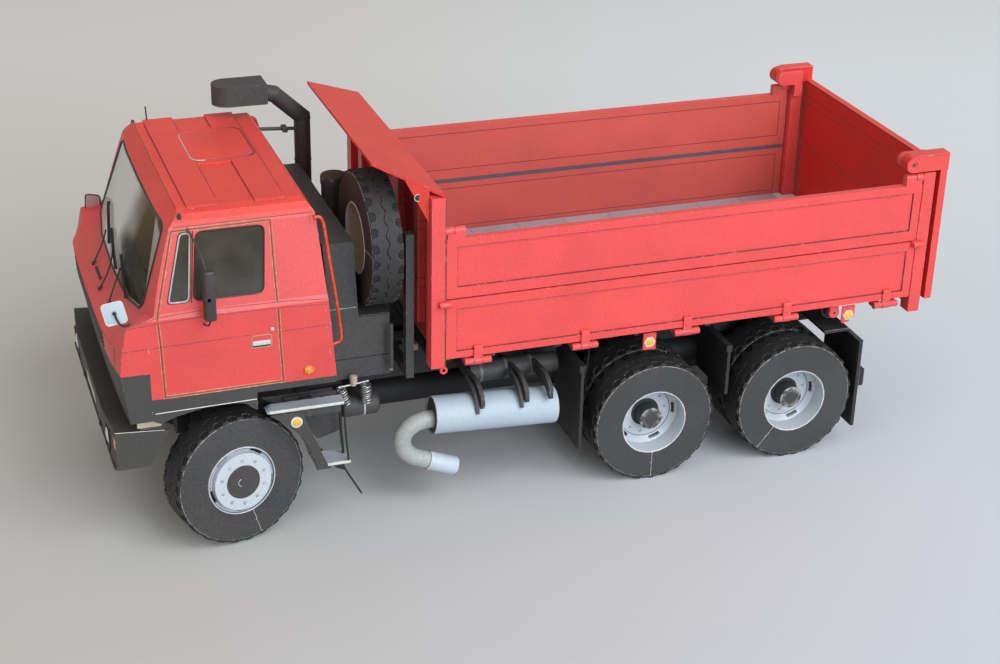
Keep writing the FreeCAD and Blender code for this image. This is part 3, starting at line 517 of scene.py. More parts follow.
# ------------------------------------------------------------------ finishes
class Graph:
    """A material's nodes, wired one call at a time."""

    def __init__(self, name: str) -> None:
        """Start an empty material."""
        self.material = bpy.data.materials.new(name)
        self.material.use_nodes = True
        self.tree = self.material.node_tree
        self.tree.nodes.clear()

    def add(self, kind: str, settings: dict[str, object] | None = None, **inputs: object) -> bpy.types.Node:
        """Add a node; an input is a socket to wire or a value to set.

        Args:
            kind: the node's type without its ShaderNode prefix.
            settings: properties of the node.
            **inputs: inputs by name, with _ for a blank.

        Returns:
            The node.
        """
        node = self.tree.nodes.new("ShaderNode" + kind)
        for key, setting in (settings or {}).items():
            setattr(node, key, setting)
        for key, given in inputs.items():
            self.feed(node.inputs[key.replace("_", " ")], given)
        return node

    def feed(self, socket: bpy.types.NodeSocket, given: object) -> None:
        """Wire another socket into this one, or set its own value."""
        if isinstance(given, bpy.types.NodeSocket):
            self.tree.links.new(given, socket)
        else:
            socket.default_value = (*given, 1) if socket.type == "RGBA" else given

    def maths(self, operation: str, first: object, second: object = 0.0) -> bpy.types.NodeSocket:
        """A number worked out from one or two others."""
        node = self.add("Math", {"operation": operation})
        for socket, given in zip(node.inputs, (first, second)):
            self.feed(socket, given)
        return node.outputs[0]

    def vector(self, operation: str, first: object, second: object = (0, 0, 0),
               out: str = "Vector") -> object:
        """A vector, or a number, worked out from two vectors."""
        node = self.add("VectorMath", {"operation": operation})
        for socket, given in zip(node.inputs, (first, second)):
            self.feed(socket, given)
        return node.outputs[out]

    def mix(self, share: object, first: object, second: object) -> bpy.types.NodeSocket:
        """A colour between two others."""
        node = self.add("Mix", {"data_type": "RGBA"})
        for index, given in ((0, share), (6, first), (7, second)):
            self.feed(node.inputs[index], given)
        return node.outputs[2]

    def where(self) -> bpy.types.NodeSocket:
        """The object's own coordinates, in metres."""
        return self.add("TexCoord").outputs["Object"]

    def noise(self, where: object, size: float, detail: float = 2.0) -> bpy.types.NodeSocket:
        """Noise whose cells are about a size across, in millimetres."""
        return self.add("TexNoise", Vector=where, Scale=1 / (size * MM), Detail=detail).outputs["Fac"]

    def between(self, value: object, low: float, high: float) -> bpy.types.NodeSocket:
        """0 below low, 1 above high, and straight between them."""
        return self.add("MapRange", Value=value, From_Min=low, From_Max=high).outputs["Result"]

    def surface(self, **inputs: object) -> bpy.types.Material:
        """The material, ended by a principled shader with some inputs."""
        self.add("OutputMaterial", Surface=self.add("BsdfPrincipled", **inputs).outputs["BSDF"])
        return self.material


@dataclass(frozen=True)
class Finish:
    """A named look, labelled with one of the record's slots."""

    name: str
    slot: str

    def material(self) -> bpy.types.Material:
        """The finish's material, made the first time."""
        return bpy.data.materials.get("card " + self.name) or self.make(Graph("card " + self.name))

    def make(self, graph: Graph) -> bpy.types.Material:
        """Wire the nodes."""
        raise NotImplementedError

    def dress(self, *nodes: str) -> None:
        """Put this finish on CAD nodes."""
        for node in nodes:
            materials = bpy.data.objects[node].data.materials
            materials.clear()
            materials.append(self.material())
        log.info("%-26s on %s", self.name, ", ".join(nodes))


@dataclass(frozen=True)
class Card(Finish):
    """Printed card: slow mottling, print specks, paper fibre and white worn edges."""

    colour: Colour
    worn: Colour = (0.62, 0.58, 0.55)
    back: Colour | None = None          # colour of faces that look towards the middle: bare card back in the cab, painted shade on the bed's boards and tailgate
    middle: Point = (80, 0, 60)         # where those faces look, in millimetres
    rough: float = 0.55
    mottle: float = 0.12                # strength of the slow change in tone
    speck: float = 0.16                 # strength of the print's specks
    wear: float = 0.5                   # how much of an edge has lost its ink
    width: float = 0.16                 # width of a worn edge, in millimetres
    fibre: float = 0.16                 # height of the paper's fibre

    def make(self, graph: Graph) -> bpy.types.Material:
        """Wire the nodes.

        Args:
            graph: an empty material.

        Returns:
            The material.
        """
        where = graph.where()
        geometry = graph.add("NewGeometry")
        slow = graph.between(graph.noise(where, 14, 3), 0.3, 0.7)
        fine = graph.between(graph.noise(where, 0.42, 4), 0.36, 0.66)
        ground = self.colour
        # faces towards the middle take the back colour: bare card inside the cab, painted shade inside the
        # bed
        if self.back:
            outward = graph.vector("SUBTRACT", where, Vector(self.middle) * MM)
            away = graph.vector("DOT_PRODUCT", outward, geometry.outputs["Normal"], "Value")
            ground = graph.mix(graph.maths("GREATER_THAN", away, 0.0), self.back, self.colour)
        base = self.pattern(graph, where, ground)
        dark = graph.add("HueSaturation", Color=base, Value=1 - self.mottle - self.speck).outputs["Color"]
        share = graph.maths("ADD", graph.maths("MULTIPLY", slow, self.mottle / (self.mottle + self.speck)),
                            graph.maths("MULTIPLY", fine, self.speck / (self.mottle + self.speck)))
        tone = graph.mix(share, dark, base)
        rounded = graph.add("Bevel", {"samples": 4}, Radius=self.width * MM).outputs["Normal"]
        flat = graph.vector("DOT_PRODUCT", rounded, geometry.outputs["True Normal"], "Value")
        edge = graph.between(flat, 0.985, 0.93)
        scuff = graph.between(graph.noise(where, 1.3, 4), 0.72 - 0.4 * self.wear, 0.78 - 0.3 * self.wear)
        bare = graph.maths("MULTIPLY", edge, scuff)
        tone = graph.mix(bare, tone, self.worn)
        height = graph.add("Bump", Strength=self.fibre, Distance=0.06 * MM,
                           Height=graph.noise(where, 0.22, 3))
        return graph.surface(Base_Color=tone, Roughness=self.rough, Normal=height.outputs["Normal"])

    def pattern(self, graph: Graph, where: bpy.types.NodeSocket, ground: object) -> object:
        """The print's plain ground colour."""
        return ground


@dataclass(frozen=True)
class Ruled(Card):
    """Card printed with a grid of fine lines."""

    line: Colour = (0.3, 0.3, 0.34)
    pitch: tuple[float, float] = (14.0, 24.0)    # along and across the truck
    start: tuple[float, float] = (0.0, 0.0)
    thick: float = 0.22

    def pattern(self, graph: Graph, where: bpy.types.NodeSocket, ground: object) -> bpy.types.NodeSocket:
        """The ground colour with its lines.

        Args:
            graph: the material's nodes.
            where: object coordinates.
            ground: the plain colour.

        Returns:
            The colour.
        """
        place = graph.add("SeparateXYZ", Vector=where)
        lined = None
        for axis, pitch, start in zip("XY", self.pitch, self.start):
            along = graph.maths("SUBTRACT", place.outputs[axis], start * MM)
            near = graph.maths("PINGPONG", along, pitch * MM / 2)
            mark = graph.maths("LESS_THAN", near, self.thick * MM / 2)
            lined = mark if lined is None else graph.maths("MAXIMUM", lined, mark)
        return graph.mix(lined, ground, self.line)


@dataclass(frozen=True)
class LoadFloor(Ruled):
    """The bed floor: ruled lilac above, red hinge barrels at the sides, dark below."""

    barrel: Colour = (0.80, 0.078, 0.075)
    under: Colour = (0.05, 0.03, 0.03)
    edge: Colour = (0.70, 0.70, 0.70)
    top: float = 45.2        # above this height the print shows
    side: float = 37.2       # outside this the hinge barrels start
    tail: float = -100.6     # behind this the floor's edge is bare

    def pattern(self, graph: Graph, where: bpy.types.NodeSocket, ground: object) -> bpy.types.NodeSocket:
        """Colours by height and by place across the truck.

        Args:
            graph: the material's nodes.
            where: object coordinates.
            ground: the plain colour.

        Returns:
            The colour.
        """
        place = graph.add("SeparateXYZ", Vector=where)
        tail = graph.maths("LESS_THAN", place.outputs["X"], self.tail * MM)
        ground = graph.mix(tail, super().pattern(graph, where, ground), self.edge)
        above = graph.maths("GREATER_THAN", place.outputs["Z"], self.top * MM)
        body = graph.mix(above, self.under, ground)
        outer = graph.maths("GREATER_THAN", graph.maths("ABSOLUTE", place.outputs["Y"]), self.side * MM)
        return graph.mix(outer, body, self.barrel)


@dataclass(frozen=True)
class Panelled(Card):
    """Card printed with the outlines of rectangular panels; where an outline lies along a recessed panel's
    edge it also stands for the shade there, as painted shade.
    """

    line: Colour = (0.26, 0.045, 0.05)
    plane: str = "XZ"                            # the two directions that the panels lie in
    panels: tuple[tuple[float, float, float, float], ...] = ()    # middle and half size of each
    thick: float = 0.24

    def pattern(self, graph: Graph, where: bpy.types.NodeSocket, ground: object) -> bpy.types.NodeSocket:
        """The ground colour with each panel's outline.

        Args:
            graph: the material's nodes.
            where: object coordinates.
            ground: the plain colour.

        Returns:
            The colour.
        """
        place = graph.add("SeparateXYZ", Vector=where)
        marks = None
        for first, second, half_first, half_second in self.panels:
            reach = [graph.maths("SUBTRACT", graph.maths("ABSOLUTE", graph.maths(
                "SUBTRACT", place.outputs[axis], middle * MM)), half * MM)
                for axis, middle, half in zip(self.plane, (first, second), (half_first, half_second))]
            border = graph.maths("ABSOLUTE", graph.maths("MAXIMUM", *reach))
            mark = graph.maths("LESS_THAN", border, self.thick * MM / 2)
            marks = mark if marks is None else graph.maths("MAXIMUM", marks, mark)
        return graph.mix(marks, ground, self.line)


@dataclass(frozen=True)
class Film(Finish):
    """Clear plastic film, tinted face on; at a glancing view its colour turns pale and it covers more, which
    is a painted reflection.
    """

    tint: Colour
    cover: float                         # share of light that the film keeps back, face on
    painted_reflection: Colour = (0.62, 0.64, 0.66)
    glance: float = 0.0                  # how much more it keeps back at a glancing view, where the painted reflection shows
    start: float = 0.55                  # where the painted reflection starts and ends, by how glancing the view is
    stop: float = 0.75

    def make(self, graph: Graph) -> bpy.types.Material:
        """Wire the nodes."""
        where = graph.where()
        ripple = graph.add("Bump", Strength=0.03, Distance=0.05 * MM, Height=graph.noise(where, 9, 2))
        haze = graph.mix(graph.between(graph.noise(where, 5, 3), 0.35, 0.7), self.tint,
                         tuple(min(1.0, part * 1.3 + 0.01) for part in self.tint))
        facing = graph.add("LayerWeight", Blend=0.5).outputs["Facing"]
        wave = graph.maths("MULTIPLY", graph.maths("SUBTRACT", graph.noise(where, 16, 1), 0.5), 0.06)
        # painted reflection: pale colour and more cover where the view glances
        edge = graph.between(graph.maths("ADD", facing, wave), self.start, self.stop)
        tone = graph.mix(graph.maths("MULTIPLY", edge, min(1.0, self.glance * 4)), haze, self.painted_reflection)
        cover = graph.maths("ADD", graph.maths("MULTIPLY", edge, self.glance), self.cover)
        return graph.surface(Base_Color=tone, Roughness=0.06, Alpha=cover, Normal=ripple.outputs["Normal"])


@dataclass(frozen=True)
class Lens(Finish):
    """Moulded lamp lens: deep colour with pale streaks of painted highlight under a clear coat."""

    colour: Colour
    pale: Colour
    rough: float = 0.12

    def make(self, graph: Graph) -> bpy.types.Material:
        """Wire the nodes."""
        where = graph.where()
        painted_glints = graph.add("TexWave", Vector=where, Scale=1 / (2.2 * MM), Distortion=1.5).outputs["Fac"]
        cloud = graph.between(graph.noise(where, 0.9, 2), 0.3, 0.7)
        # painted highlights: the pale colour shows in streaks over the deep one
        tone = graph.mix(graph.maths("MULTIPLY", painted_glints, cloud), self.colour, self.pale)
        return graph.surface(Base_Color=tone, Roughness=self.rough, Coat_Weight=0.6, Coat_Roughness=0.05)


@dataclass(frozen=True)
class Metal(Finish):
    """Bright wire with a drawn grain."""

    colour: Colour
    rough: float = 0.3

    def make(self, graph: Graph) -> bpy.types.Material:
        """Wire the nodes."""
        where = graph.where()
        grain = graph.between(graph.noise(where, 0.35, 3), 0.3, 0.7)
        tone = graph.mix(grain, tuple(part * 0.7 for part in self.colour), self.colour)
        rough = graph.maths("MULTIPLY_ADD", grain, 0.12)
        rough.node.inputs[2].default_value = self.rough
        return graph.surface(Base_Color=tone, Metallic=1.0, Roughness=rough)


PINK_EDGE = {"worn": (0.86, 0.42, 0.38), "wear": 0.42}
# the boards' inner faces take a darker red: painted shade
BOARD = {**PINK_EDGE, "back": (0.66, 0.105, 0.085), "middle": (-38, 0, 60), "rough": 0.42}
INK_EDGE = {"worn": (0.40, 0.38, 0.34), "wear": 0.45, "rough": 0.6, "width": 0.12}
CREAM_EDGE = {"worn": (0.50, 0.46, 0.40), "speck": 0.3, "rough": 0.6, "width": 0.12}

RED = Card("red gloss print", "red_card", (0.80, 0.078, 0.075), rough=0.42, **PINK_EDGE)
# the side boards' panel outlines: print on the inner faces, painted shade along the recess edges on the outer
# faces
LOWER_BOARD = Panelled("lower board print", "red_card", (0.82, 0.075, 0.072),
                       panels=((-38.1, 52.25, 62.6, 5.75),), **BOARD)
UPPER_BOARD = Panelled("upper board print", "red_card", (0.82, 0.075, 0.072),
                       panels=((-38.1, 69.2, 62.6, 5.3),), **BOARD)
# the tailgate's inner face takes a deeper, darker red: painted shade
GATE = Panelled("tailgate print", "red_card", (0.78, 0.07, 0.06), rough=0.5, back=(0.72, 0.022, 0.012),
                middle=(-38, 0, 62), plane="YZ", **PINK_EDGE,
                panels=((0, 68.2, 35.9, 6.0), (0, 53.9, 35.9, 7.0), (0, 78.4, 35.9, 2.0)))
HEAD = Panelled("headboard print", "red_card", (0.80, 0.078, 0.075), rough=0.42, plane="YZ", **PINK_EDGE,
                panels=((0, 53.5, 32.8, 6.2), (0, 68.6, 32.8, 6.6), (0, 81.3, 32.8, 4.0)))
# roof and canopy: the same red card, made darker and deeper on these up-facing parts, which is painted shade
ROOF_RED_SHADED = Card("roof red print", "red_card", (0.78, 0.062, 0.045), worn=(0.84, 0.40, 0.34), wear=0.35,
                rough=0.5)
CANOPY_RED_SHADED = Card("canopy red print", "red_card", (0.73, 0.052, 0.036), worn=(0.84, 0.40, 0.34), wear=0.4,
                  rough=0.5)
CAB_RED = Card("cab red print", "red_card", (0.73, 0.072, 0.068), worn=(0.86, 0.42, 0.38), wear=0.35,
               back=(0.62, 0.43, 0.19), rough=0.42)
INK = Card("black print", "black_card", (0.062, 0.060, 0.060), speck=0.34, **INK_EDGE)
# the air tank's black is lighter than the other black card, standing for light that reaches it under the bed:
# painted light
TANK_INK_LIT = Card("tank print", "black_card", (0.085, 0.082, 0.080), speck=0.4, **INK_EDGE)
CAB_INK = Card("cab black print", "black_card", (0.058, 0.056, 0.054), wear=0.45, back=(0.30, 0.24, 0.17),
               **CREAM_EDGE)
BUMPER_INK = Card("bumper print", "black_card", (0.066, 0.062, 0.058), wear=0.5, **CREAM_EDGE)
DARK = Card("dark frame card", "black_card", (0.026, 0.025, 0.026), worn=(0.12, 0.11, 0.10), wear=0.3,
            rough=0.65)
FLAP = Card("flap card", "black_card", (0.022, 0.021, 0.022), worn=(0.25, 0.23, 0.21), wear=0.45, rough=0.6,
            width=0.12)
SIDEWALL = Card("tyre side print", "tyre_card", (0.062, 0.061, 0.061), worn=(0.5, 0.48, 0.45), wear=0.78,
                speck=0.42, mottle=0.2, rough=0.62, width=0.22)
TREAD = Card("tread card", "tyre_card", (0.030, 0.029, 0.030), worn=(0.16, 0.15, 0.14), wear=0.55, speck=0.4,
             rough=0.7, width=0.2)
GROOVE = Card("groove card", "tyre_card", (0.010, 0.010, 0.011), worn=(0.05, 0.05, 0.05), wear=0.2, rough=0.8)
RIM = Card("rim print", "rim_card", (0.53, 0.58, 0.63), worn=(0.9, 0.9, 0.9), speck=0.1, mottle=0.08,
           rough=0.45)
RIM_SHADE = Card("rim shade print", "rim_card", (0.36, 0.40, 0.48), worn=(0.85, 0.85, 0.86), rough=0.5)
SILVER = Card("silver print", "grey_card", (0.42, 0.45, 0.50), worn=(0.8, 0.8, 0.8), rough=0.4)
SILVER_PALE = Card("pale silver print", "grey_card", (0.62, 0.62, 0.63), worn=(0.9, 0.9, 0.9), rough=0.35)
SILVER_DARK = Card("dark silver print", "grey_card", (0.16, 0.16, 0.165), worn=(0.4, 0.4, 0.4), rough=0.45)
FRAME_GREY = Card("frame grey print", "grey_card", (0.48, 0.48, 0.48), worn=(0.75, 0.75, 0.75), rough=0.4)
WHITE = Card("white card", "white_card", (0.48, 0.555, 0.635), worn=(0.85, 0.85, 0.85), speck=0.08,
             mottle=0.05,
             rough=0.5)
DRUM_WHITE = Card("silencer card", "white_card", (0.42, 0.51, 0.60), worn=(0.8, 0.8, 0.8), speck=0.1,
                  mottle=0.06,
                  rough=0.5)
PIPE = Card("pipe print", "pipe_card", (0.40, 0.43, 0.42), worn=(0.62, 0.62, 0.6), speck=0.2, rough=0.45)
PIPE_SEAM = Card("pipe seam", "pipe_card", (0.24, 0.26, 0.25), worn=(0.5, 0.5, 0.5), rough=0.5)
BARE_WOOD = Card("bare board", "tan_card", (0.62, 0.47, 0.28), worn=(0.75, 0.65, 0.5), speck=0.2, rough=0.8)
# warm brown on the top of a black lid: painted light from above
LID_TOP_WARM_LIT = Card("brown lid print", "tan_card", (0.085, 0.06, 0.035), worn=(0.3, 0.24, 0.16), rough=0.6)
SEAT = Card("seat print", "tan_card", (0.045, 0.040, 0.036), worn=(0.14, 0.12, 0.10), speck=0.3, rough=0.75)
DASH = Card("dashboard print", "black_card", (0.040, 0.038, 0.036), worn=(0.2, 0.18, 0.15), speck=0.3,
            rough=0.6)
FLOOR = LoadFloor("lilac floor print", "floor_card", (0.44, 0.41, 0.48), worn=(0.8, 0.78, 0.78),
                  pitch=(14.2, 100.0),
                  start=(-4.0, 40.0), line=(0.30, 0.28, 0.33), thick=0.35, rough=0.55)
CREAM = Card("bare card back", "tan_card", (0.62, 0.54, 0.42), worn=(0.8, 0.75, 0.65), rough=0.8)
CREAM_PINK = Card("ridged knob card", "tan_card", (0.50, 0.38, 0.33), worn=(0.7, 0.6, 0.5), speck=0.25,
                  rough=0.7)
YELLOW = Card("yellow print", "white_card", (0.80, 0.50, 0.06), worn=(0.9, 0.8, 0.5), rough=0.4)
LINE_TAN = Card("tan line", "tan_card", (0.44, 0.30, 0.13), worn=(0.6, 0.5, 0.3), rough=0.55)
LINE_BROWN = Card("copper line", "tan_card", (0.22, 0.09, 0.04), worn=(0.4, 0.25, 0.15), rough=0.4)
LINE_RED = Card("dark red line", "red_card", (0.20, 0.035, 0.05), worn=(0.3, 0.1, 0.1), rough=0.5)
LINE_PALE = Card("pale line", "white_card", (0.66, 0.66, 0.62), worn=(0.8, 0.8, 0.8), rough=0.5)
SLATE = Card("slate tape", "grey_card", (0.10, 0.10, 0.14), worn=(0.25, 0.25, 0.3), rough=0.5)
RUBBER = Card("black trim", "black_card", (0.018, 0.017, 0.017), worn=(0.1, 0.095, 0.09), wear=0.3,
              rough=0.45)
MIRROR_CASE = Card("mirror case print", "black_card", (0.045, 0.035, 0.034), worn=(0.2, 0.17, 0.16),
                   rough=0.45)
MIRROR_PINK = Card("mirror face print", "rim_card", (0.42, 0.24, 0.25), worn=(0.6, 0.5, 0.5), rough=0.2)
ORANGE_WIRE = Card("orange handrail", "red_card", (0.66, 0.055, 0.02), worn=(0.85, 0.4, 0.2), rough=0.35)
# each lens's pale second colour is its painted highlight
AMBER_GLASS = Lens("amber lens", "red_card", (0.62, 0.16, 0.01), (0.90, 0.50, 0.03))
LAMP_RED = Lens("red lens", "red_card", (0.45, 0.01, 0.01), (0.75, 0.06, 0.04))
LAMP_GLASS = Lens("clear lens", "white_card", (0.55, 0.58, 0.62), (0.85, 0.87, 0.88))
# the windscreen's pale glancing colour is a painted reflection
SCREEN_FILM = Film("screen film", "clear_film", (0.30, 0.27, 0.22), 0.05, painted_reflection=(0.60, 0.60, 0.61),
                   glance=0.82,
                   start=0.744, stop=0.768)
# the side windows' dark brown tint and heavy cover stand for the shade inside the cab: painted shade
SIDE_FILM = Film("side film", "clear_film", (0.055, 0.047, 0.036), 0.55)
STEEL = Metal("steel wire", "grey_card", (0.46, 0.46, 0.46), 0.4)
CHROME = Metal("bright cap", "grey_card", (0.85, 0.86, 0.88), 0.18)


# ------------------------------------------------------------------ studio
@dataclass
class Studio:
    """Wide pale sheet, soft light and the camera."""

    aim: Point = (-0.85, 0.0, 29.88)
    distance: float = 507.16
    azimuth: float = 160.284
    elevation: float = 25.942
    roll: float = 1.311
    lens: float = 66.776

    def build(self) -> None:
        """Set up everything round the truck."""
        self.floor()
        self.light()
        self.camera()
        bpy.context.scene.view_settings.view_transform = "Standard"
        log.info("studio set")

    def floor(self) -> None:
        """One wide sheet under the truck: darker and warmer near the camera and on one side, paler and bluer
        far off and on the other, which is painted light.
        """
        piece = Piece.block("studio_floor", (-2500, -2500, -6), (2500, 2500, 0))
        with piece.editing(Kind.EDGE):
            bpy.ops.mesh.select_all(action="SELECT")
            bpy.ops.mesh.bevel(offset=2, segments=2)
        piece.obj.scale = (MM, MM, MM)
        piece.settle()
        graph = Graph("card studio floor")
        where = graph.where()
        turned = graph.add("Mapping", Vector=where, Rotation=(0, 0, math.radians(self.azimuth + 39.5)))
        place = graph.add("SeparateXYZ", Vector=turned.outputs["Vector"])
        # painted light: the floor's tone changes across and along the view instead of coming from the lamps
        side = graph.between(place.outputs["X"], -0.12, 0.13)
        depth = graph.between(place.outputs["Y"], -0.10, 0.33)
        near = graph.mix(side, (0.490, 0.478, 0.458), (0.545, 0.590, 0.655))
        far = graph.mix(side, (0.680, 0.670, 0.662), (0.705, 0.745, 0.790))
        paper = graph.surface(Base_Color=graph.mix(depth, near, far), Roughness=0.9, Specular_IOR_Level=0.12)
        piece.obj.data.materials.append(paper)

    def lamp(self, name: str, way: Point, size: float, power: float, tint: Colour) -> None:
        """Square soft box that looks at the truck.

        Args:
            name: the lamp's name.
            way: direction from the truck to the lamp.
            size: its side in metres.
            power: its power in watts.
            tint: its colour.
        """
        data = bpy.data.lights.new(name, "AREA")
        data.shape, data.size, data.energy, data.color = "SQUARE", size, power, tint
        lamp = bpy.data.objects.new(name, data)
        bpy.context.collection.objects.link(lamp)
        direction = Vector(way).normalized()
        lamp.location = direction * 1.6 + Vector((0, 0, 0.03))
        lamp.rotation_euler = direction.to_track_quat("Z", "Y").to_euler()

    def light(self) -> None:
        """Cool key and low lamp on the truck's left, a weak warm fill in front and a warm dome."""
        self.lamp("key", (-0.50, 1.0, 1.1), 1.0, 15, (0.96, 0.98, 1.0))
        self.lamp("low", (-0.15, 1.0, 0.36), 0.8, 14, (0.82, 0.91, 1.0))
        self.lamp("fill", (0.9, 0.5, 0.6), 0.9, 3.0, (1.0, 0.90, 0.76))
        world = bpy.data.worlds.new("sky")
        bpy.context.scene.world = world
        world.use_nodes = True
        dome = world.node_tree.nodes["Background"].inputs
        dome["Color"].default_value = (1.0, 0.96, 0.90, 1)
        dome["Strength"].default_value = 0.50

    def camera(self) -> None:
        """Stand the camera where the truck fills the frame."""
        turn, rise, roll = (math.radians(a) for a in (self.azimuth, self.elevation, self.roll))
        back = Vector((math.sin(turn) * math.cos(rise), -math.cos(turn) * math.cos(rise), math.sin(rise)))
        right = (-back).cross(Vector((0, 0, 1))).normalized()
        up = right.cross(-back)
        across = right * math.cos(roll) + up * math.sin(roll)
        upward = up * math.cos(roll) - right * math.sin(roll)
        data = bpy.data.cameras.new("camera")
        data.lens, data.sensor_width, data.clip_start, data.clip_end = self.lens, 36, 0.01, 20
        camera = bpy.data.objects.new("camera", data)
        bpy.context.collection.objects.link(camera)
        matrix = Matrix((across, upward, back)).transposed().to_4x4()
        matrix.translation = (Vector(self.aim) + back * self.distance) * MM
        camera.matrix_world = matrix
        bpy.context.scene.camera = camera


# ------------------------------------------------------------------ wheels
def spun(degrees: float, along: float = 0.0) -> Matrix:
    """A turn about a wheel's own axis, at a place along it."""
    return stood((0, along, 0), degrees, "Y")


def cut_slots(rim: Piece, first: float, band: tuple[float, float], low: float, reach: float,
              insets: Sequence[tuple[float, float]], depth: float) -> None:
    """Cut five vent slots in a rim and ink them.

    Args:
        rim: the rim, about the origin.
        first: angle of the first slot, in degrees.
        band: radii between which they lie.
        low: they lie further out along the axle than this.
        reach: half of each slot's length, in degrees.
        insets: width and depth of each frame round a slot.
        depth: how deep the slot is sunk.
    """
    def in_slot(spot: Vector, way: Vector) -> bool:
        """Whether a face lies in one of the slots."""
        turn = (math.degrees(math.atan2(spot.z, spot.x)) - first + pitch / 2) % pitch - pitch / 2
        in_band = band[0] < math.hypot(spot.x, spot.z) < band[1]
        return in_band and spot.y > low and way.y > 0.3 and abs(turn) < reach

    pitch = 360 / 5
    rim.coat(RIM, RUBBER)
    with rim.editing():
        rim.pick(in_slot)
        for thickness, rise in insets:
            bpy.ops.mesh.inset(thickness=thickness, depth=rise)
        bpy.ops.mesh.extrude_region_move(TRANSFORM_OT_translate={"value": (0, -depth, 0)})
        rim.obj.active_material_index = 1
        bpy.ops.object.material_slot_assign()


@dataclass
class Tread:
    """Rolled strip with a waved middle groove and bites along both edges."""

    radius: float = 17.0
    width: float = 8.7
    pitches: int = 27
    lines: tuple[float, ...] = (0.16, 1.35, 2.55, 3.05, 3.65)    # rows of the strip, from its middle
    wave: float = 0.42
    groove: float = 0.34
    bite: float = 0.30
    wall: float = 0.85
    mould: Piece | None = field(default=None, init=False)

    def tile(self) -> Piece:
        """One pitch of the strip, flat in X and Z with its face towards -Y.

        Returns:
            The tile.
        """
        pitch = math.tau * self.radius / self.pitches
        rows = 2 * len(self.lines) + 1
        put_down()
        bpy.ops.mesh.primitive_grid_add(x_subdivisions=10, y_subdivisions=rows, size=1)
        piece = Piece(bpy.context.active_object, "tread_mould")
        piece.obj.scale = (pitch, rows, 1)
        piece.obj.rotation_euler = (math.pi / 2, 0, 0)
        piece.settle()
        edges = (*self.lines, self.width / 2)
        for index, target in reversed(list(enumerate(edges))):
            for side in (-1, 1):
                at = side * (index + 0.5)
                piece.shift(lambda spot, _: abs(spot.z - at) < 0.1, (0, 0, side * target - at))
        for step in range(1, 10):
            at = (step / 10 - 0.5) * pitch
            bend = self.wave * math.sin(math.tau * step / 10)
            for line, share in zip(self.lines[:2], (1.0, 0.7)):
                piece.shift(lambda spot, _: abs(spot.x - at) < 0.01 and abs(abs(spot.z) - line) < 0.05,
                            (0, 0, bend * share))
        piece.coat(TREAD, GROOVE).obj.active_material_index = 1
        with piece.editing():
            for test, depth in ((self.middle, self.groove), (self.bitten, self.bite)):
                piece.pick(lambda spot, _: test(spot, pitch))
                bpy.ops.mesh.extrude_region_move(TRANSFORM_OT_translate={"value": (0, depth, 0)})
                bpy.ops.object.material_slot_assign()
            piece.pick(lambda spot, way: abs(spot.z) > self.width / 2 - 0.01 and abs(way.y) < 0.1)
            bpy.ops.mesh.delete(type="FACE")
        with piece.editing(Kind.EDGE):
            piece.pick(lambda spot, way: abs(spot.z) > self.width / 2 - 0.01 and abs(way.x) > 0.9, Kind.EDGE)
            bpy.ops.mesh.extrude_region_move(TRANSFORM_OT_translate={"value": (0, self.wall, 0)})
        return piece

    def middle(self, spot: Vector, pitch: float) -> bool:
        """Whether a face lies in the waved middle groove."""
        bend = self.wave * math.sin(math.tau * (spot.x / pitch + 0.5))
        return abs(spot.z) < 0.7 * self.wave + 0.2 and abs(spot.z - bend) < 0.14

    def bitten(self, spot: Vector, pitch: float) -> bool:
        """Whether a face lies in a bite; the two edges' bites alternate."""
        along = abs(spot.x) if spot.z > 0 else pitch / 2 - abs(spot.x)
        across = abs(spot.z)
        half = 0.31 * pitch if across > 3.1 else 0.21 * pitch
        return across > self.lines[2] and along < half and abs(spot.y) < 0.01

    def roll(self) -> Piece:
        """Repeat the tile, bend it into a ring about Y and keep it as the mould.

        Returns:
            The mould.
        """
        if self.mould:
            return self.mould
        piece = self.tile()
        piece.modify("ARRAY", count=self.pitches, relative_offset_displace=(1, 0, 0), use_merge_vertices=True,
                     merge_threshold=0.01)
        centre = sum((vert.co.x for vert in piece.obj.data.vertices)) / len(piece.obj.data.vertices)
        piece.place(Matrix.Translation((-centre, 0, 0)))
        piece.modify("SIMPLE_DEFORM", deform_method="BEND", deform_axis="Z", angle=math.tau)
        piece.place(Matrix.Rotation(-math.pi / 2, 4, "X") @ Matrix.Translation((0, -self.radius, 0)))
        with piece.editing():
            bpy.ops.mesh.select_all(action="SELECT")
            bpy.ops.mesh.remove_doubles(threshold=0.01)
        self.mould = piece
        return piece

    def cast(self, name: str, place: Matrix, body: str) -> bpy.types.Object:
        """A copy of the mould at a wheel."""
        return self.roll().copy(name).place(place).done(None, body, smooth=28, slot="tyre_card")

    def clear(self) -> None:
        """Take the mould off the bench."""
        if self.mould:
            bpy.data.objects.remove(self.mould.obj)
            self.mould = None


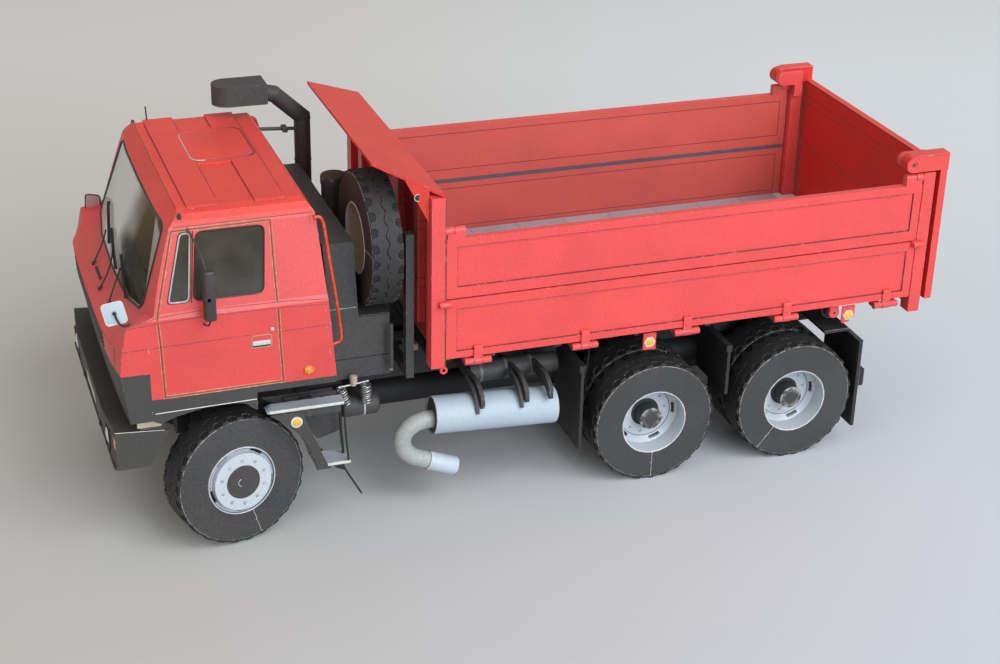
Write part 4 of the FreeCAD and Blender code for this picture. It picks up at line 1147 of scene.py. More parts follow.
@dataclass
class Tyre:
    """One tyre: its two flat card sides on a drum, its tread and the seam of the outer side."""

    tread: Tread
    width: float = 9.0
    bead: float = 9.0
    shoulder: float = 16.35
    seam: float | None = None              # angle of the glued seam on the outer side

    def build(self, name: str, place: Matrix, body: str, turn: float, node: str = "") -> None:
        """Make the tyre at a place on its body.

        Args:
            name: start of the pieces' names.
            place: the tyre's matrix, with Y outwards.
            body: the CAD body that carries it.
            turn: how far the tread is turned round, in degrees.
            node: the CAD node whose place it takes, where there is one.
        """
        half, edge = self.width / 2, self.shoulder
        sides = Piece.lathe(name + "_sides", [
            (self.bead, half), (edge - 0.12, half), (edge, half - 0.12), (edge, half - 0.3),
            (edge - 0.25, half - 0.34),
            (edge - 0.25, 0.34 - half), (edge, 0.3 - half), (edge, 0.12 - half), (edge - 0.12, -half),
            (self.bead, -half), (self.bead, half)], steps=90)
        sides.place(place)
        self.tread.cast(name + "_tread", place @ spun(turn) @ Matrix.Diagonal((1, self.width / 9, 1, 1)),
                        body)
        if self.seam is not None:
            self.crack(name, place, body)
        sides.done(SIDEWALL, body, 40, node)

    def crack(self, name: str, place: Matrix, body: str) -> None:
        """Thin pale line where the side's ring was glued shut."""
        reach = ((9.05, 0), (10.4, 0.08), (11.7, -0.05), (12.2, 0.12), (13.6, 0.02), (15.2, 0.1),
                 (16.3, 0.02))
        angle = math.radians(self.seam)
        points = [(radius * math.cos(angle) + shift, self.width / 2, radius * math.sin(angle))
                  for radius, shift in reach]
        seam = Piece.wire(name + "_seam", points, 0.055, sides=1)
        blob = Piece.ball(name + "_glue", points[3], 0.14, (1, 0.5, 1.6), sides=8)
        seam.join([blob]).place(place).done(LINE_PALE, body)


@dataclass
class Nuts:
    """Ring of domed wheel nuts on washers."""

    count: int = 10
    ring: float = 5.85
    radius: float = 0.44
    first: float = 18.0

    def build(self, name: str, face: float, place: Matrix, body: str) -> None:
        """Copy one nut round the disc.

        Args:
            name: the piece's name.
            face: place of the disc's face along the axle.
            place: the wheel's matrix.
            body: the CAD body that carries it.
        """
        nut = Piece.lathe(name, [(0, face + 0.36), (self.radius * 0.55, face + 0.3),
                                 (self.radius, face + 0.1),
                                 (self.radius * 1.1, face), (0, face - 0.1)], steps=10)
        nut.place(Matrix.Translation((self.ring, 0, 0)))
        copies = [nut.copy(f"{name}_{index}").place(spun(self.first + index * 360 / self.count))
                  for index in range(self.count)]
        bpy.data.objects.remove(nut.obj)
        copies[0].join(copies[1:]).place(place).rename(name).done(RIM_SHADE, body)


@dataclass
class FrontRim:
    """Front wheel's card rim: rolled edge, slotted band, proud white disc and dark hub cap."""

    edge: float = 9.0
    disc: float = 7.6
    hub: float = 4.42
    face: float = 5.5

    def build(self, name: str, place: Matrix, body: str) -> None:
        """Make the rim at a wheel.

        Args:
            name: the wheel's name, which is its body's too.
            place: the wheel's matrix.
            body: the CAD body that carries it.
        """
        rim = Piece.lathe(name + "_rim_card", [
            (2.6, 3.0), (self.hub, self.face - 0.05), (self.disc - 0.1, self.face),
            (self.disc, self.face - 0.12),
            (7.62, 3.7), (8.66, 4.15), (8.72, 4.75), (8.86, 4.85), (self.edge, 4.75), (self.edge, -4.5),
            (8.75, -4.5), (8.75, 3.2), (2.6, 2.4), (2.6, 3.0)], steps=120)
        cut_slots(rim, -20.0, (7.7, 8.6), 3.6, 14, ((0.13, 0.0),), 0.5)
        rim.place(place).done(None, body, 32, name + "_rim", "rim_card")
        ring = Piece.hoop(name + "_rim_line", (0, 4.62, 0), 8.60, 0.07, sides=90)
        ring.place(place).done(RUBBER, body)
        cap = Piece.lathe(name + "_hub_cap", [
            (0, self.face + 0.14), (self.hub - 0.1, self.face + 0.14), (self.hub, self.face + 0.06),
            (self.hub, self.face - 0.3), (2.4, self.face - 0.4), (2.4, -4.2), (1.8, -4.4), (1.8, 3.4),
            (0, 3.4)],
            steps=60)
        cap.place(place).done(INK, body)
        self.mark(name, place, body)
        Nuts().build(name + "_nuts", self.face - 0.02, place, body)

    def mark(self, name: str, place: Matrix, body: str) -> None:
        """Small open ring stamped on the hub cap."""
        arc = [(0.95 * math.cos(a) + 0.5, self.face + 0.16, 0.95 * math.sin(a))
               for a in map(math.radians, range(-80, 81, 20))]
        Piece.wire(name + "_cap_mark", arc, 0.13, smooth=True, sides=1).place(place).done(SILVER, body)


@dataclass
class TwinRim:
    """Twin wheels' dished rim: deep pale barrel, slotted cone, nut disc and dark hub drum."""

    edge: float = 9.0
    disc: float = 7.15
    face: float = 3.5

    def build(self, name: str, place: Matrix, body: str) -> None:
        """Make the rim at a pair of wheels.

        Args:
            name: the wheel's name.
            place: the wheel's matrix.
            body: the CAD body that carries it.
        """
        rim = Piece.lathe(name + "_rim_card", [
            (2.7, self.face), (self.disc, self.face), (8.72, 4.7), (8.72, 9.86), (8.84, 9.95), (8.97, 9.95),
            (self.edge, 9.85), (self.edge, -9.8), (8.72, -9.8), (8.72, 3.9), (7.1, 2.7), (2.7, 2.7),
            (2.7, self.face)], steps=120)
        cut_slots(rim, -110.0, (7.2, 8.7), 3.4, 15.5, ((0.34, 0.10), (0.14, 0.0)), 0.7)
        rim.place(place).done(None, body, 32, name + "_rim", "rim_card")
        line = Piece.hoop(name + "_disc_line", (0, self.face + 0.02, 0), self.disc - 0.02, 0.075, sides=90)
        line.place(place).done(RUBBER, body)
        drum = Piece.lathe(name + "_hub_drum", [
            (0, 7.75), (3.0, 7.75), (3.12, 7.66), (3.12, 7.5), (3.08, self.face + 0.2),
            (3.95, self.face + 0.06),
            (3.95, self.face - 0.1), (2.8, self.face - 0.3), (2.8, -6.0), (2.1, -6.1), (2.1, 5.0), (0, 5.0)],
            steps=60)
        drum.coat(DARK).paint(lambda spot, way: way.y > 0.7 and spot.y > 7, SIDEWALL)
        drum.place(place).done(None, body, 40, slot="black_card")
        Nuts(ring=5.75, radius=0.42, first=9.0).build(name + "_nuts", self.face - 0.02, place, body)


@dataclass
class Wheels:
    """All seven wheels."""

    frame: dict[str, object]
    gap: float = 1.6
    width: float = 9.0
    front_seam: float = -106.0
    twin_seams: tuple[float, float] = (-90.0, -52.0)

    def build(self) -> None:
        """Make each wheel where its joint stands, and the spare on its carrier."""
        tread = Tread()
        joints = {joint["name"]: joint for joint in self.frame["joints"]}
        for side, sign in (("left", 1), ("right", -1)):
            places = {row: axle(Vector(joints[f"roll_{row}_{side}"]["pos_m"]) / MM,
                                Vector(joints[f"roll_{row}_{side}"]["axis"]) * sign)
                      for row in ("front", "mid", "rear")}
            self.front(f"wheel_front_{side}", places["front"], tread, sign)
            for row, seam in zip(("mid", "rear"), self.twin_seams):
                self.twin(f"wheel_{row}_{side}", places[row], tread, seam)
        self.spare(tread)
        tread.clear()

    def front(self, name: str, place: Matrix, tread: Tread, sign: int) -> None:
        """One steered wheel."""
        Tyre(tread, seam=self.front_seam).build(name, place, name, 4.0 * sign, name + "_tyre")
        FrontRim().build(name, place, name)

    def twin(self, name: str, place: Matrix, tread: Tread, seam: float) -> None:
        """One pair of wheels, its two tyres a small gap apart."""
        offset = (self.width + self.gap) / 2
        Tyre(tread, seam=seam).build(name + "_outer", place @ spun(0, offset), name, seam / 7,
                                     name + "_tyres")
        Tyre(tread).build(name + "_inner", place @ spun(0, -offset), name, 6.0)
        TwinRim().build(name, place, name)

    def spare(self, tread: Tread) -> None:
        """The spare, upright across the truck."""
        low, high = box_mm("spare_tyre")
        width = 0.86 * (high.x - low.x)
        centre = ((low + high) / 2) + Vector(((high.x - low.x - width) / 2 - 0.1, 0, 0))
        place = axle(centre, (1, 0, 0))
        Tyre(tread, width=width, seam=176.0).build("spare", place, "chassis", 2.0, "spare_tyre")
        half = width / 2
        rim = Piece.lathe("spare_hole", [
            (8.66, half + 0.05), (8.85, half + 0.12), (9.02, half + 0.02), (9.02, -half - 0.1),
            (3.0, -half - 0.1),
            (3.0, 0.6 - half), (8.66, 0.6 - half), (8.66, half + 0.05)], steps=72)
        rim.coat(CREAM).paint(lambda spot, way: spot.y > half - 0.02, LINE_PALE)
        rim.place(place).done(None, smooth=40, node="spare_rim", slot="tan_card")
# ------------------------------------------------------------------ lines laid on card
Flat = tuple[float, float]


def oblong(low: Flat, high: Flat) -> list[Flat]:
    """Corners of a rectangle, in order."""
    return [low, (high[0], low[1]), high, (low[0], high[1])]


def inside(loop: Sequence[Flat], gap: float) -> list[Flat]:
    """A closed outline moved inwards.

    Args:
        loop: its corners in order.
        gap: how far each side moves.

    Returns:
        The new corners.
    """
    points = [Vector(corner) for corner in loop]
    area = sum(a.x * b.y - b.x * a.y for a, b in zip(points, points[1:] + points[:1]))
    moved = []
    for index, here in enumerate(points):
        before = (here - points[index - 1]).normalized()
        after = (points[(index + 1) % len(points)] - here).normalized()
        normal = Vector((-before.y - after.y, before.x + after.x)) * math.copysign(1, area)
        moved.append(tuple(here + normal * gap / (1 + before.dot(after))))
    return moved


def bend(loop: Sequence[Flat], index: int, radius: float, steps: int = 4) -> list[Vector]:
    """Curve that rounds one corner of a closed outline.

    Args:
        loop: the outline's corners in order.
        index: which corner.
        radius: how far from the corner the rounding starts.
        steps: straight pieces in the curve.

    Returns:
        Places along the curve.
    """
    here, before, after = (Vector(loop[(index + step) % len(loop)]) for step in (0, -1, 1))
    start, stop = (here + (end - here).normalized() * radius for end in (before, after))
    shares = [step / steps for step in range(steps + 1)]
    return [start.lerp(here, share).lerp(here.lerp(stop, share), share) for share in shares]


def rounded(loop: Sequence[Flat], radius: float, steps: int = 4) -> list[Flat]:
    """A closed outline with every corner rounded."""
    return [tuple(spot) for index in range(len(loop)) for spot in bend(loop, index, radius, steps)]


@dataclass(frozen=True)
class Skin:
    """The outside of some CAD nodes, met along one direction."""

    nodes: tuple[str, ...]
    look: Point

    def point(self, spot: Point, lift: float = 0.0) -> Vector | None:
        """Where the skin lies at a spot, or None where there is none.

        Args:
            spot: a place near the skin, in millimetres.
            lift: height above the skin.

        Returns:
            The place, in millimetres.
        """
        way = Vector(self.look).normalized()
        start = Vector(spot) - way * 60
        found = onto(self.nodes, start, way, lift)
        return None if (found - start).length < 0.01 else found

    def line(self, points: Sequence[Point], radius: float, lift: float = 0.0, gap: float = 2.5,
             closed: bool = False) -> Piece:
        """Fine bead that follows the skin.

        Args:
            points: places along it.
            radius: its radius.
            lift: height of its middle above the skin.
            gap: longest stretch that isn't fitted to the skin.
            closed: whether it ends where it starts.

        Returns:
            The piece.
        """
        ends = [Vector(point) for point in points]
        if closed:
            ends.append(ends[0])
        spots = []
        for start, stop in zip(ends, ends[1:]):
            count = max(1, round((stop - start).length / gap))
            spots += [self.point(start.lerp(stop, step / count), lift) for step in range(count)]
        if not closed:
            spots.append(self.point(ends[-1], lift))
        return Piece.wire("line", [spot for spot in spots if spot], radius, closed=closed, sides=1)


def single(name: str, finish: Finish, *pieces: Piece, smooth: float = 35, node: str = "") -> None:
    """Join pieces into one on the chassis and finish it."""
    pieces[0].join(pieces[1:]).rename(name).done(finish, smooth=smooth, node=node)


def pair(name: str, finish: Finish, *pieces: Piece, body: str = "chassis", smooth: float = 35,
         node: str = "") -> None:
    """Join the left side's pieces into one, mirror it, and finish both sides.

    Args:
        name: start of both names.
        finish: their finish.
        *pieces: the left side's pieces.
        body: the body that they move with, where {} stands for the side.
        smooth: edges sharper than this many degrees stay sharp.
        node: the CAD node whose place the left one takes.
    """
    joined = pieces[0].join(pieces[1:])
    joined.mirrored(name + "_right").done(finish, body.format("right"), smooth)
    joined.rename(name + "_left").done(finish, body.format("left"), smooth, node)


# ------------------------------------------------------------------ the cab
@dataclass
class CabSides:
    """Printed lines, glass frames, handles and lamps on both sides of the cab."""

    skin: Skin = Skin(("cab_side_left", "cab_front", "cab_base", "cab_apron", "cab_roof", "cab_rear_wall",
                       "side_windows"), (0, -1, 0))
    door: tuple[Flat, ...] = ((96.6, 44.3), (96.9, 57.0), (97.3, 64.7), (95.8, 71.1), (92.3, 84.6),
                              (69.1, 84.9),
                              (69.0, 73.0), (68.9, 68.2), (68.6, 56.4), (68.1, 44.5))
    belts: tuple[tuple[Flat, ...], ...] = (
        ((102.3, 64.0), (97.2, 65.1), (86.4, 65.6), (65.8, 65.3), (56.8, 64.7)),
        ((104.4, 63.2), (97.1, 63.7), (85.4, 64.2), (65.9, 63.9), (56.7, 63.4)),
        ((105.7, 57.4), (75.9, 57.8)), ((70.2, 57.8), (56.4, 57.9)), ((92.0, 85.35), (58.9, 85.55)))
    window: tuple[Flat, ...] = ((88.6, 67.9), (86.8, 84.0), (70.5, 84.0), (71.8, 67.9))
    vent: tuple[Flat, ...] = ((94.6, 67.9), (90.5, 84.0), (87.9, 84.0), (89.5, 67.9))
    handle: tuple[Flat, Flat] = ((70.7, 54.3), (75.5, 57.4))
    lamp: Flat = (61.7, 46.4)

    def build(self) -> None:
        """Dress the left side and mirror it."""
        self.lines()
        self.glazing()
        self.door_handle()
        self.side_lamp()

    def trace(self, line: Sequence[Flat], radius: float, lift: float = 0.0, closed: bool = False) -> Piece:
        """Bead on the cab's side along places of the side view."""
        return self.skin.line([(x, 38, z) for x, z in line], radius, lift, closed=closed)

    def lines(self) -> None:
        """Door shuts, belt lines, gutter and the pale line on the skirt."""
        pair("cab_dark_lines", LINE_RED, self.trace(self.door, 0.12, closed=True),
             *(self.trace(belt, 0.085) for belt in self.belts))
        pair("cab_tan_lines", LINE_TAN,
             *(self.trace(inside(self.door, gap), 0.1, closed=True) for gap in (0.36, -0.34)))
        pair("skirt_line", LINE_PALE, self.trace(((99.2, 40.25), (74.8, 40.55)), 0.13))
        pair("kick_panel_line", RUBBER, self.trace(((74.4, 42.6), (74.5, 38.2)), 0.11),
             self.trace(((74.4, 43.1), (56.0, 43.3)), 0.11))

    def glazing(self) -> None:
        """Gaskets round the door window, the pale frame of the vent window and their rounded corners."""
        pair("window_gasket", RUBBER,
             self.trace(rounded(inside(self.window, 0.1), 1.7), 0.19, 0.05, closed=True),
             self.trace(rounded(inside(self.vent, -0.12), 1.1), 0.12, closed=True),
             self.trace(((89.0, 67.6), (87.35, 84.2)), 0.13))
        pair("vent_frame", FRAME_GREY,
             self.trace(rounded(inside(self.vent, 0.16), 1.1), 0.21, 0.06, closed=True))
        corners = [self.corner(loop, index, size) for loop, size in ((self.window, 1.9), (self.vent, 1.1))
                   for index in range(4)]
        pair("window_corner", CAB_RED, *corners, smooth=20)

    def corner(self, loop: Sequence[Flat], index: int, size: float) -> Piece:
        """Card that rounds one corner of an opening.

        Args:
            loop: the opening's corners.
            index: which corner.
            size: how far along each side the rounding starts.

        Returns:
            The piece.
        """
        here = Vector(loop[index])
        middle = sum((Vector(corner) for corner in loop), Vector((0, 0))) / len(loop)
        tip = here + (here - middle).normalized() * 0.25
        spots = [self.skin.point((spot.x, 38, spot.y), 0.02) or Vector((spot.x, 37.5, spot.y))
                 for spot in (tip, *bend(loop, index, size))]
        return Piece.outline("corner", spots, (0, -0.45, 0))

    def door_handle(self) -> None:
        """Recessed handle in a tan frame, with its key button."""
        (low_x, low_z), (high_x, high_z) = self.handle
        loop = ((low_x, low_z), (low_x, high_z), (high_x, high_z), (high_x, low_z))
        pair("handle_frame", LINE_TAN, self.trace(rounded(loop, 0.7), 0.15, 0.05, closed=True))
        face = self.skin.point(((low_x + high_x) / 2, 38, (low_z + high_z) / 2)).y
        rim = [(x, face + 0.04, z) for x, z in rounded(inside(loop, 0.05), 0.6)]
        well = Piece.outline("well", rim, (0, -0.3, 0)).inset(lambda _, way: way.y > 0.9, 0.22, -0.12)
        pair("handle_well", LINE_RED, well)
        bar = Piece.block("bar", (low_x + 0.25, face - 0.2, 54.9),
                          (high_x - 0.2, face + 0.42, 56.05)).round(0.22, 3)
        pair("handle_bar", SILVER_PALE, bar)
        shade = Piece.block("shade", (low_x + 0.3, face - 0.2, 54.45),
                            (high_x - 0.3, face + 0.1, 54.9)).round(0.05, 1)
        pair("handle_shade", RUBBER, shade)
        key = Piece.lathe("key", [(0, 0.42), (0.26, 0.38), (0.42, 0.2), (0.46, -0.2), (0, -0.2)], 16)
        pair("key_button", LINE_PALE, key.place(stood(self.skin.point((70.4, 38, 58.7)))))

    def side_lamp(self) -> None:
        """Round amber lamp low behind the door."""
        place = stood(self.skin.point((self.lamp[0], 38, self.lamp[1])))
        lens = Piece.lathe("lens", [(0, 0.72), (0.55, 0.62), (1.05, 0.34), (1.32, -0.1), (0, -0.2)], 32)
        pair("side_lamp", AMBER_GLASS, lens.place(place))
        ring = Piece.lathe("ring", [(1.2, 0.16), (1.42, 0.14), (1.5, -0.1), (1.2, -0.1), (1.2, 0.16)], 32)
        pair("side_lamp_ring", ORANGE_WIRE, ring.place(place))


@dataclass
class CabRoof:
    """Hatch, card edges, marker knobs, aerial and the orange handrails."""

    skin: Skin = Skin(("cab_roof",), (0, 0, -1))
    hatch: tuple[Flat, Flat] = ((65.4, -18.4), (81.0, 2.4))
    knob: Point = (90.0, 33.0, 87.6)
    rail: tuple[Point, ...] = ((58.9, 36.3, 85.0), (58.0, 36.2, 85.3), (56.9, 36.0, 84.2), (56.3, 36.0, 80.4),
                               (55.5, 36.0, 73.6), (54.4, 36.0, 66.2), (53.0, 36.0, 54.8), (52.9, 36.0, 52.3),
                               (53.9, 36.0, 51.4), (55.6, 36.3, 51.4))

    def build(self) -> None:
        """Make each fitting."""
        self.panel()
        self.seams()
        self.knobs()
        self.rails()

    def panel(self) -> None:
        """Raised rounded hatch, with a pale line along its front edge as painted highlight and dark lines
        along its rear and sides as painted shade.
        """
        (low_x, low_y), (high_x, high_y) = self.hatch
        loop = rounded(oblong(*self.hatch), 3.0, 6)
        top = max((self.skin.point((x, y, 88)) or Vector((0, 0, 88.6))).z for x, y in loop)
        lid = Piece.outline("roof_hatch", [(x, y, top - 1.2) for x, y in loop], (0, 0, 1.36))
        lid.inset(lambda _, way: way.z > 0.9, 0.35, 0.06).done(ROOF_RED_SHADED, smooth=20)
        edge = [Vector((x, y, top + 0.02)) for x, y in rounded(inside(loop, -0.12), 0.01, 1)]
        edge.sort(key=lambda spot: spot.y)
        front = [spot for spot in edge if spot.x > high_x - 3.2]
        rear = [spot for spot in edge if spot.x < low_x + 3.2]
        # painted highlight along the front edge, painted shadow along the rear and painted shade along the
        # sides
        Piece.wire("hatch_pale_edge", front, 0.12, sides=1).done(LINE_PALE)
        Piece.wire("hatch_groove", rear, 0.28, sides=1).done(LINE_RED)
        single("hatch_side_groove", LINE_RED,
               *(Piece.wire("side", [(low_x + 3, y, top + 0.02), (high_x - 3, y, top + 0.02)], 0.09, sides=1)
                 for y in (low_y - 0.1, high_y + 0.1)))

    def seams(self) -> None:
        """Dark lines where the raised cards end and where the roof folds."""
        skin = Skin(("cab_roof", "cab_front"), (0, 0, -1))
        cards = []
        for low, high in ((64.5, 71.8), (80.2, 87.8)):
            loop = inside(oblong((low, -31.1), (high, 31.1)), -0.05)
            cards.append(skin.line([(x, y, 89) for x, y in loop], 0.075, 0.0, 4.0, closed=True))
            spans = ((-31.1, -20.6), (4.8, 31.1)) if low > 70 else ((-31.1, 31.1),)
            cards += [skin.line([(low + 0.16, y, 89) for y in span], 0.07, 0.02, 4.0) for span in spans]
        cards.append(skin.line([(90.3, y, 89) for y in (-30, -15, 0, 15, 30)], 0.06, 0.0, 4.0))
        single("roof_card_edges", LINE_RED, *cards)

    def knobs(self) -> None:
        """Marker knobs over the doors and the short aerial."""
        base = self.skin.point(self.knob) or Vector(self.knob)
        knob = Piece.lathe("knob",
                           [(0, 1.25), (0.34, 1.15), (0.5, 0.8), (0.5, 0.2), (0.62, 0.0), (0.62, -0.3),
                                    (0, -0.4)], 20)
        pair("roof_knob", INK, knob.place(stood(base, 62, "X")))
        foot = self.skin.point((86.6, -31.8, 88)) or Vector((86.6, -31.8, 88.3))
        points = [foot + Vector(step) for step in ((0, 0, -0.5), (0, 0, 1.6), (0.15, 0.1, 4.2))]
        boot = Piece.lathe("boot", [(0, 0.9), (0.25, 0.85), (0.42, 0.1), (0.42, -0.4), (0, -0.4)], 14)
        single("roof_aerial", RUBBER, Piece.wire("aerial", points, 0.19, smooth=True),
               boot.place(stood(foot, 90, "X")))

    def rails(self) -> None:
        """Bent orange rails behind the doors, with round feet."""
        feet = [Piece.lathe("foot", [(0, 0.25), (0.62, 0.2), (0.68, -0.2), (0, -0.3)],
                            18).place(stood(spot, 90))
                for spot in (self.rail[0], self.rail[-1])]
        pair("cab_grab_rail", ORANGE_WIRE, Piece.wire("rail", self.rail, 0.4, smooth=True, sides=3), *feet,
             smooth=60)


@dataclass
class CabFace:
    """Windscreen and its gasket, wipers, shelf fitting and printed face."""

    skin: Skin = Skin(("cab_front", "windscreen", "cab_apron"), (-1, 0, 0))
    screen: tuple[Flat, ...] = ((0.0, 62.4), (20.0, 62.9), (30.8, 64.7), (32.2, 66.6), (30.2, 83.6),
                                (28.6, 84.6))
    wipers: tuple[tuple[tuple[Flat, Flat], tuple[Flat, ...]], ...] = (
        (((-22.0, 71.0), (-8.5, 65.2)), ((-11.0, 59.2), (-12.5, 62.5), (-14.2, 66.6))),
        (((-10.8, 68.2), (5.0, 64.0)), ((3.8, 58.7), (3.2, 63.0), (-1.5, 66.2))),
        (((6.0, 68.0), (21.0, 63.2)), ((14.5, 59.3), (9.8, 62.4), (10.5, 66.4))))

    def build(self) -> None:
        """Make each piece of the face."""
        self.gasket()
        self.wiper_set()
        self.print_lines()
        self.shelf()
        self.glass()

    def glass(self) -> None:
        """One smooth curved pane in place of the flat-sided one."""
        put_down()
        source = bpy.data.objects["windscreen"]
        twin = source.copy()
        twin.data = source.data.copy()
        for collection in source.users_collection:
            collection.objects.link(twin)
        twin.hide_set(False)
        pane = Piece(twin, "screen_pane")
        with pane.editing():
            bpy.ops.mesh.select_all(action="SELECT")
            bpy.ops.mesh.remove_doubles(threshold=0.00001)
            bpy.ops.mesh.dissolve_limited(angle_limit=math.radians(1))
        twin.data.materials.clear()
        pane.coat(SCREEN_FILM).take()
        bpy.ops.object.shade_smooth_by_angle(angle=math.radians(50))
        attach(twin, "chassis")
        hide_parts("windscreen")
        put_down()

    def gasket(self) -> None:
        """Black rubber round the windscreen."""
        loop = [*self.screen, *((-y, z) for y, z in reversed(self.screen) if y)]
        bead = self.skin.line([(100, y, z) for y, z in inside(loop, -0.1)], 0.3, 0.02, 1.5, closed=True)
        single("screen_gasket", RUBBER, bead)

    def wiper_set(self) -> None:
        """Three wipers: blade, its clip and a bent arm from a small boot."""
        parts = []
        for (start, stop), arm in self.wipers:
            ends = [(100, *start), (100, *stop)]
            spots = [self.skin.point((100, y, z), lift) for (y, z), lift in zip(arm, (0.5, 1.0, 0.95))]
            parts += [self.skin.line(ends, 0.26, 0.42, 1.5), self.skin.line(ends, 0.13, 0.8, 3.0),
                      Piece.wire("arm", spots, 0.21, smooth=True)]
            boot = Piece.drum("boot", spots[0] - Vector((0.2, 0, 0.1)), 0.62, 1.1, Axis.X, 16, top=0.42)
            parts.append(boot.round(0.12, 2))
        single("wipers", RUBBER, *parts, smooth=50)

    def print_lines(self) -> None:
        """Panel lines on the cab's face and the slatted grille."""
        skin = Skin(("cab_front", "cab_apron", "cab_side_left", "cab_side_right"), (-1, 0, 0))
        rows = [[(100, y, 51.35) for y in (-35, -20, 0, 20, 35)],
                [(100, y, 57.2) for y in (-33, -20, 0, 20, 33)]]
        rows += [[(100, y, 51.5), (100, y, 57.2)] for y in (-34.3, 34.3)]
        single("face_lines", LINE_RED, *(skin.line(row, 0.09) for row in rows))
        single("grille_slats", RUBBER, *(skin.line([(100, y, z) for y in (-24, 0, 24)], 0.24, 0.0, 6.0)
                                         for z in (52.6, 53.7, 54.8, 55.9)))

    def shelf(self) -> None:
        """Small dark bracket on the shelf under the screen."""
        x = self.skin.point((100, -8.4, 59.3), 0.1).x
        bracket = Piece.block("shelf_bracket", (x - 1.2, -8.4, 58.3), (x + 0.5, -0.8, 59.3))
        bracket.push(lambda spot, way: way.z > 0.9, (0, 0, 0.3))
        bracket.inset(lambda spot, way: way.z > 0.9, 0.35, -0.3).round(0.12, 1).done(INK)


@dataclass(frozen=True)
class FrontMirror:
    """Rounded plate in a frame on a bent wire, at one front corner of the belt."""

    side: str
    centre: Point
    turn: float                  # how far the plate's face is turned forwards, in degrees
    lean: float                  # how far it is rolled in its own plane, in degrees
    face: Finish
    rim: Finish
    arm: tuple[Point, ...]
    wide: float
    high: float

    def build(self) -> None:
        """Make the plate, its frame and its wire."""
        half = (self.wide / 2, self.high / 2)
        loop = rounded(oblong((-half[0], -half[1]), half), 0.9)
        place = stood(self.centre, -self.turn) @ Matrix.Rotation(math.radians(self.lean), 4, "Y")
        plate = Piece.outline("front_mirror_" + self.side, [(x, 0.25, z) for x, z in loop], (0, -0.5, 0))
        plate.round(0.08, 2, 50).place(place).done(self.face)
        frame = Piece.wire("front_mirror_frame_" + self.side, [(x, 0.12, z) for x, z in loop], 0.2,
                           closed=True, sides=1)
        frame.place(place).done(self.rim)
        single("front_mirror_arm_" + self.side, RUBBER, Piece.wire("arm", self.arm, 0.26, smooth=True),
               Piece.ball("boot", self.arm[0], 0.5, (1, 0.7, 1), 12))


@dataclass
class Mirrors:
    """Long door mirrors on bent wires and small front mirrors at the belt corners."""

    case: tuple[Point, Point] = ((84.3, 42.0, 65.0), (87.3, 44.0, 77.6))
    stay: tuple[Point, ...] = ((88.6, 34.5, 85.1), (87.4, 37.5, 82.6), (86.2, 41.6, 78.6), (86.0, 42.9, 76.0))
    foot: tuple[Point, ...] = ((85.8, 43.0, 66.6), (85.6, 42.6, 64.0), (86.2, 40.6, 62.4), (86.6, 38.4, 62.2))
    fronts: tuple[FrontMirror, ...] = (
        FrontMirror("left", (107.0, 38.3, 67.6), 10, 12, WHITE, LINE_PALE,
                    ((107.0, 38.9, 67.8), (106.4, 39.0, 65.3), (104.9, 38.9, 64.0), (103.5, 38.2, 64.4)), 4.9,
                    5.4),
        FrontMirror("right", (101.4, -37.0, 64.9), 25, -2, MIRROR_PINK, RUBBER,
                    ((101.0, -37.2, 62.8), (100.7, -37.2, 61.7), (99.6, -37.5, 61.2), (97.4, -38.2, 61.6)),
                    4.0, 5.0))

    def build(self) -> None:
        """Make all four mirrors."""
        case = Piece.block("case", *self.case).shift(lambda spot, _: spot.x > 87 and spot.y > 43,
                                                     (-0.5, 0, 0))
        case.round(0.45, 3).inset(lambda _, way: way.x < -0.9, 0.3, -0.18)
        wires = [Piece.wire("stay", line, 0.24, smooth=True) for line in (self.stay, self.foot)]
        clip = Piece.block("clip", (85.4, 42.6, 70.0), (86.9, 44.0, 71.2)).round(0.2, 2)
        pair("door_mirror", MIRROR_CASE, case, *wires, clip, node="mirrors")
        glass = Piece.block("glass", (84.38, 42.35, 65.4), (84.48, 43.65, 77.2)).round(0.04, 1)
        pair("door_mirror_glass", CHROME, glass)
        for mirror in self.fronts:
            mirror.build()


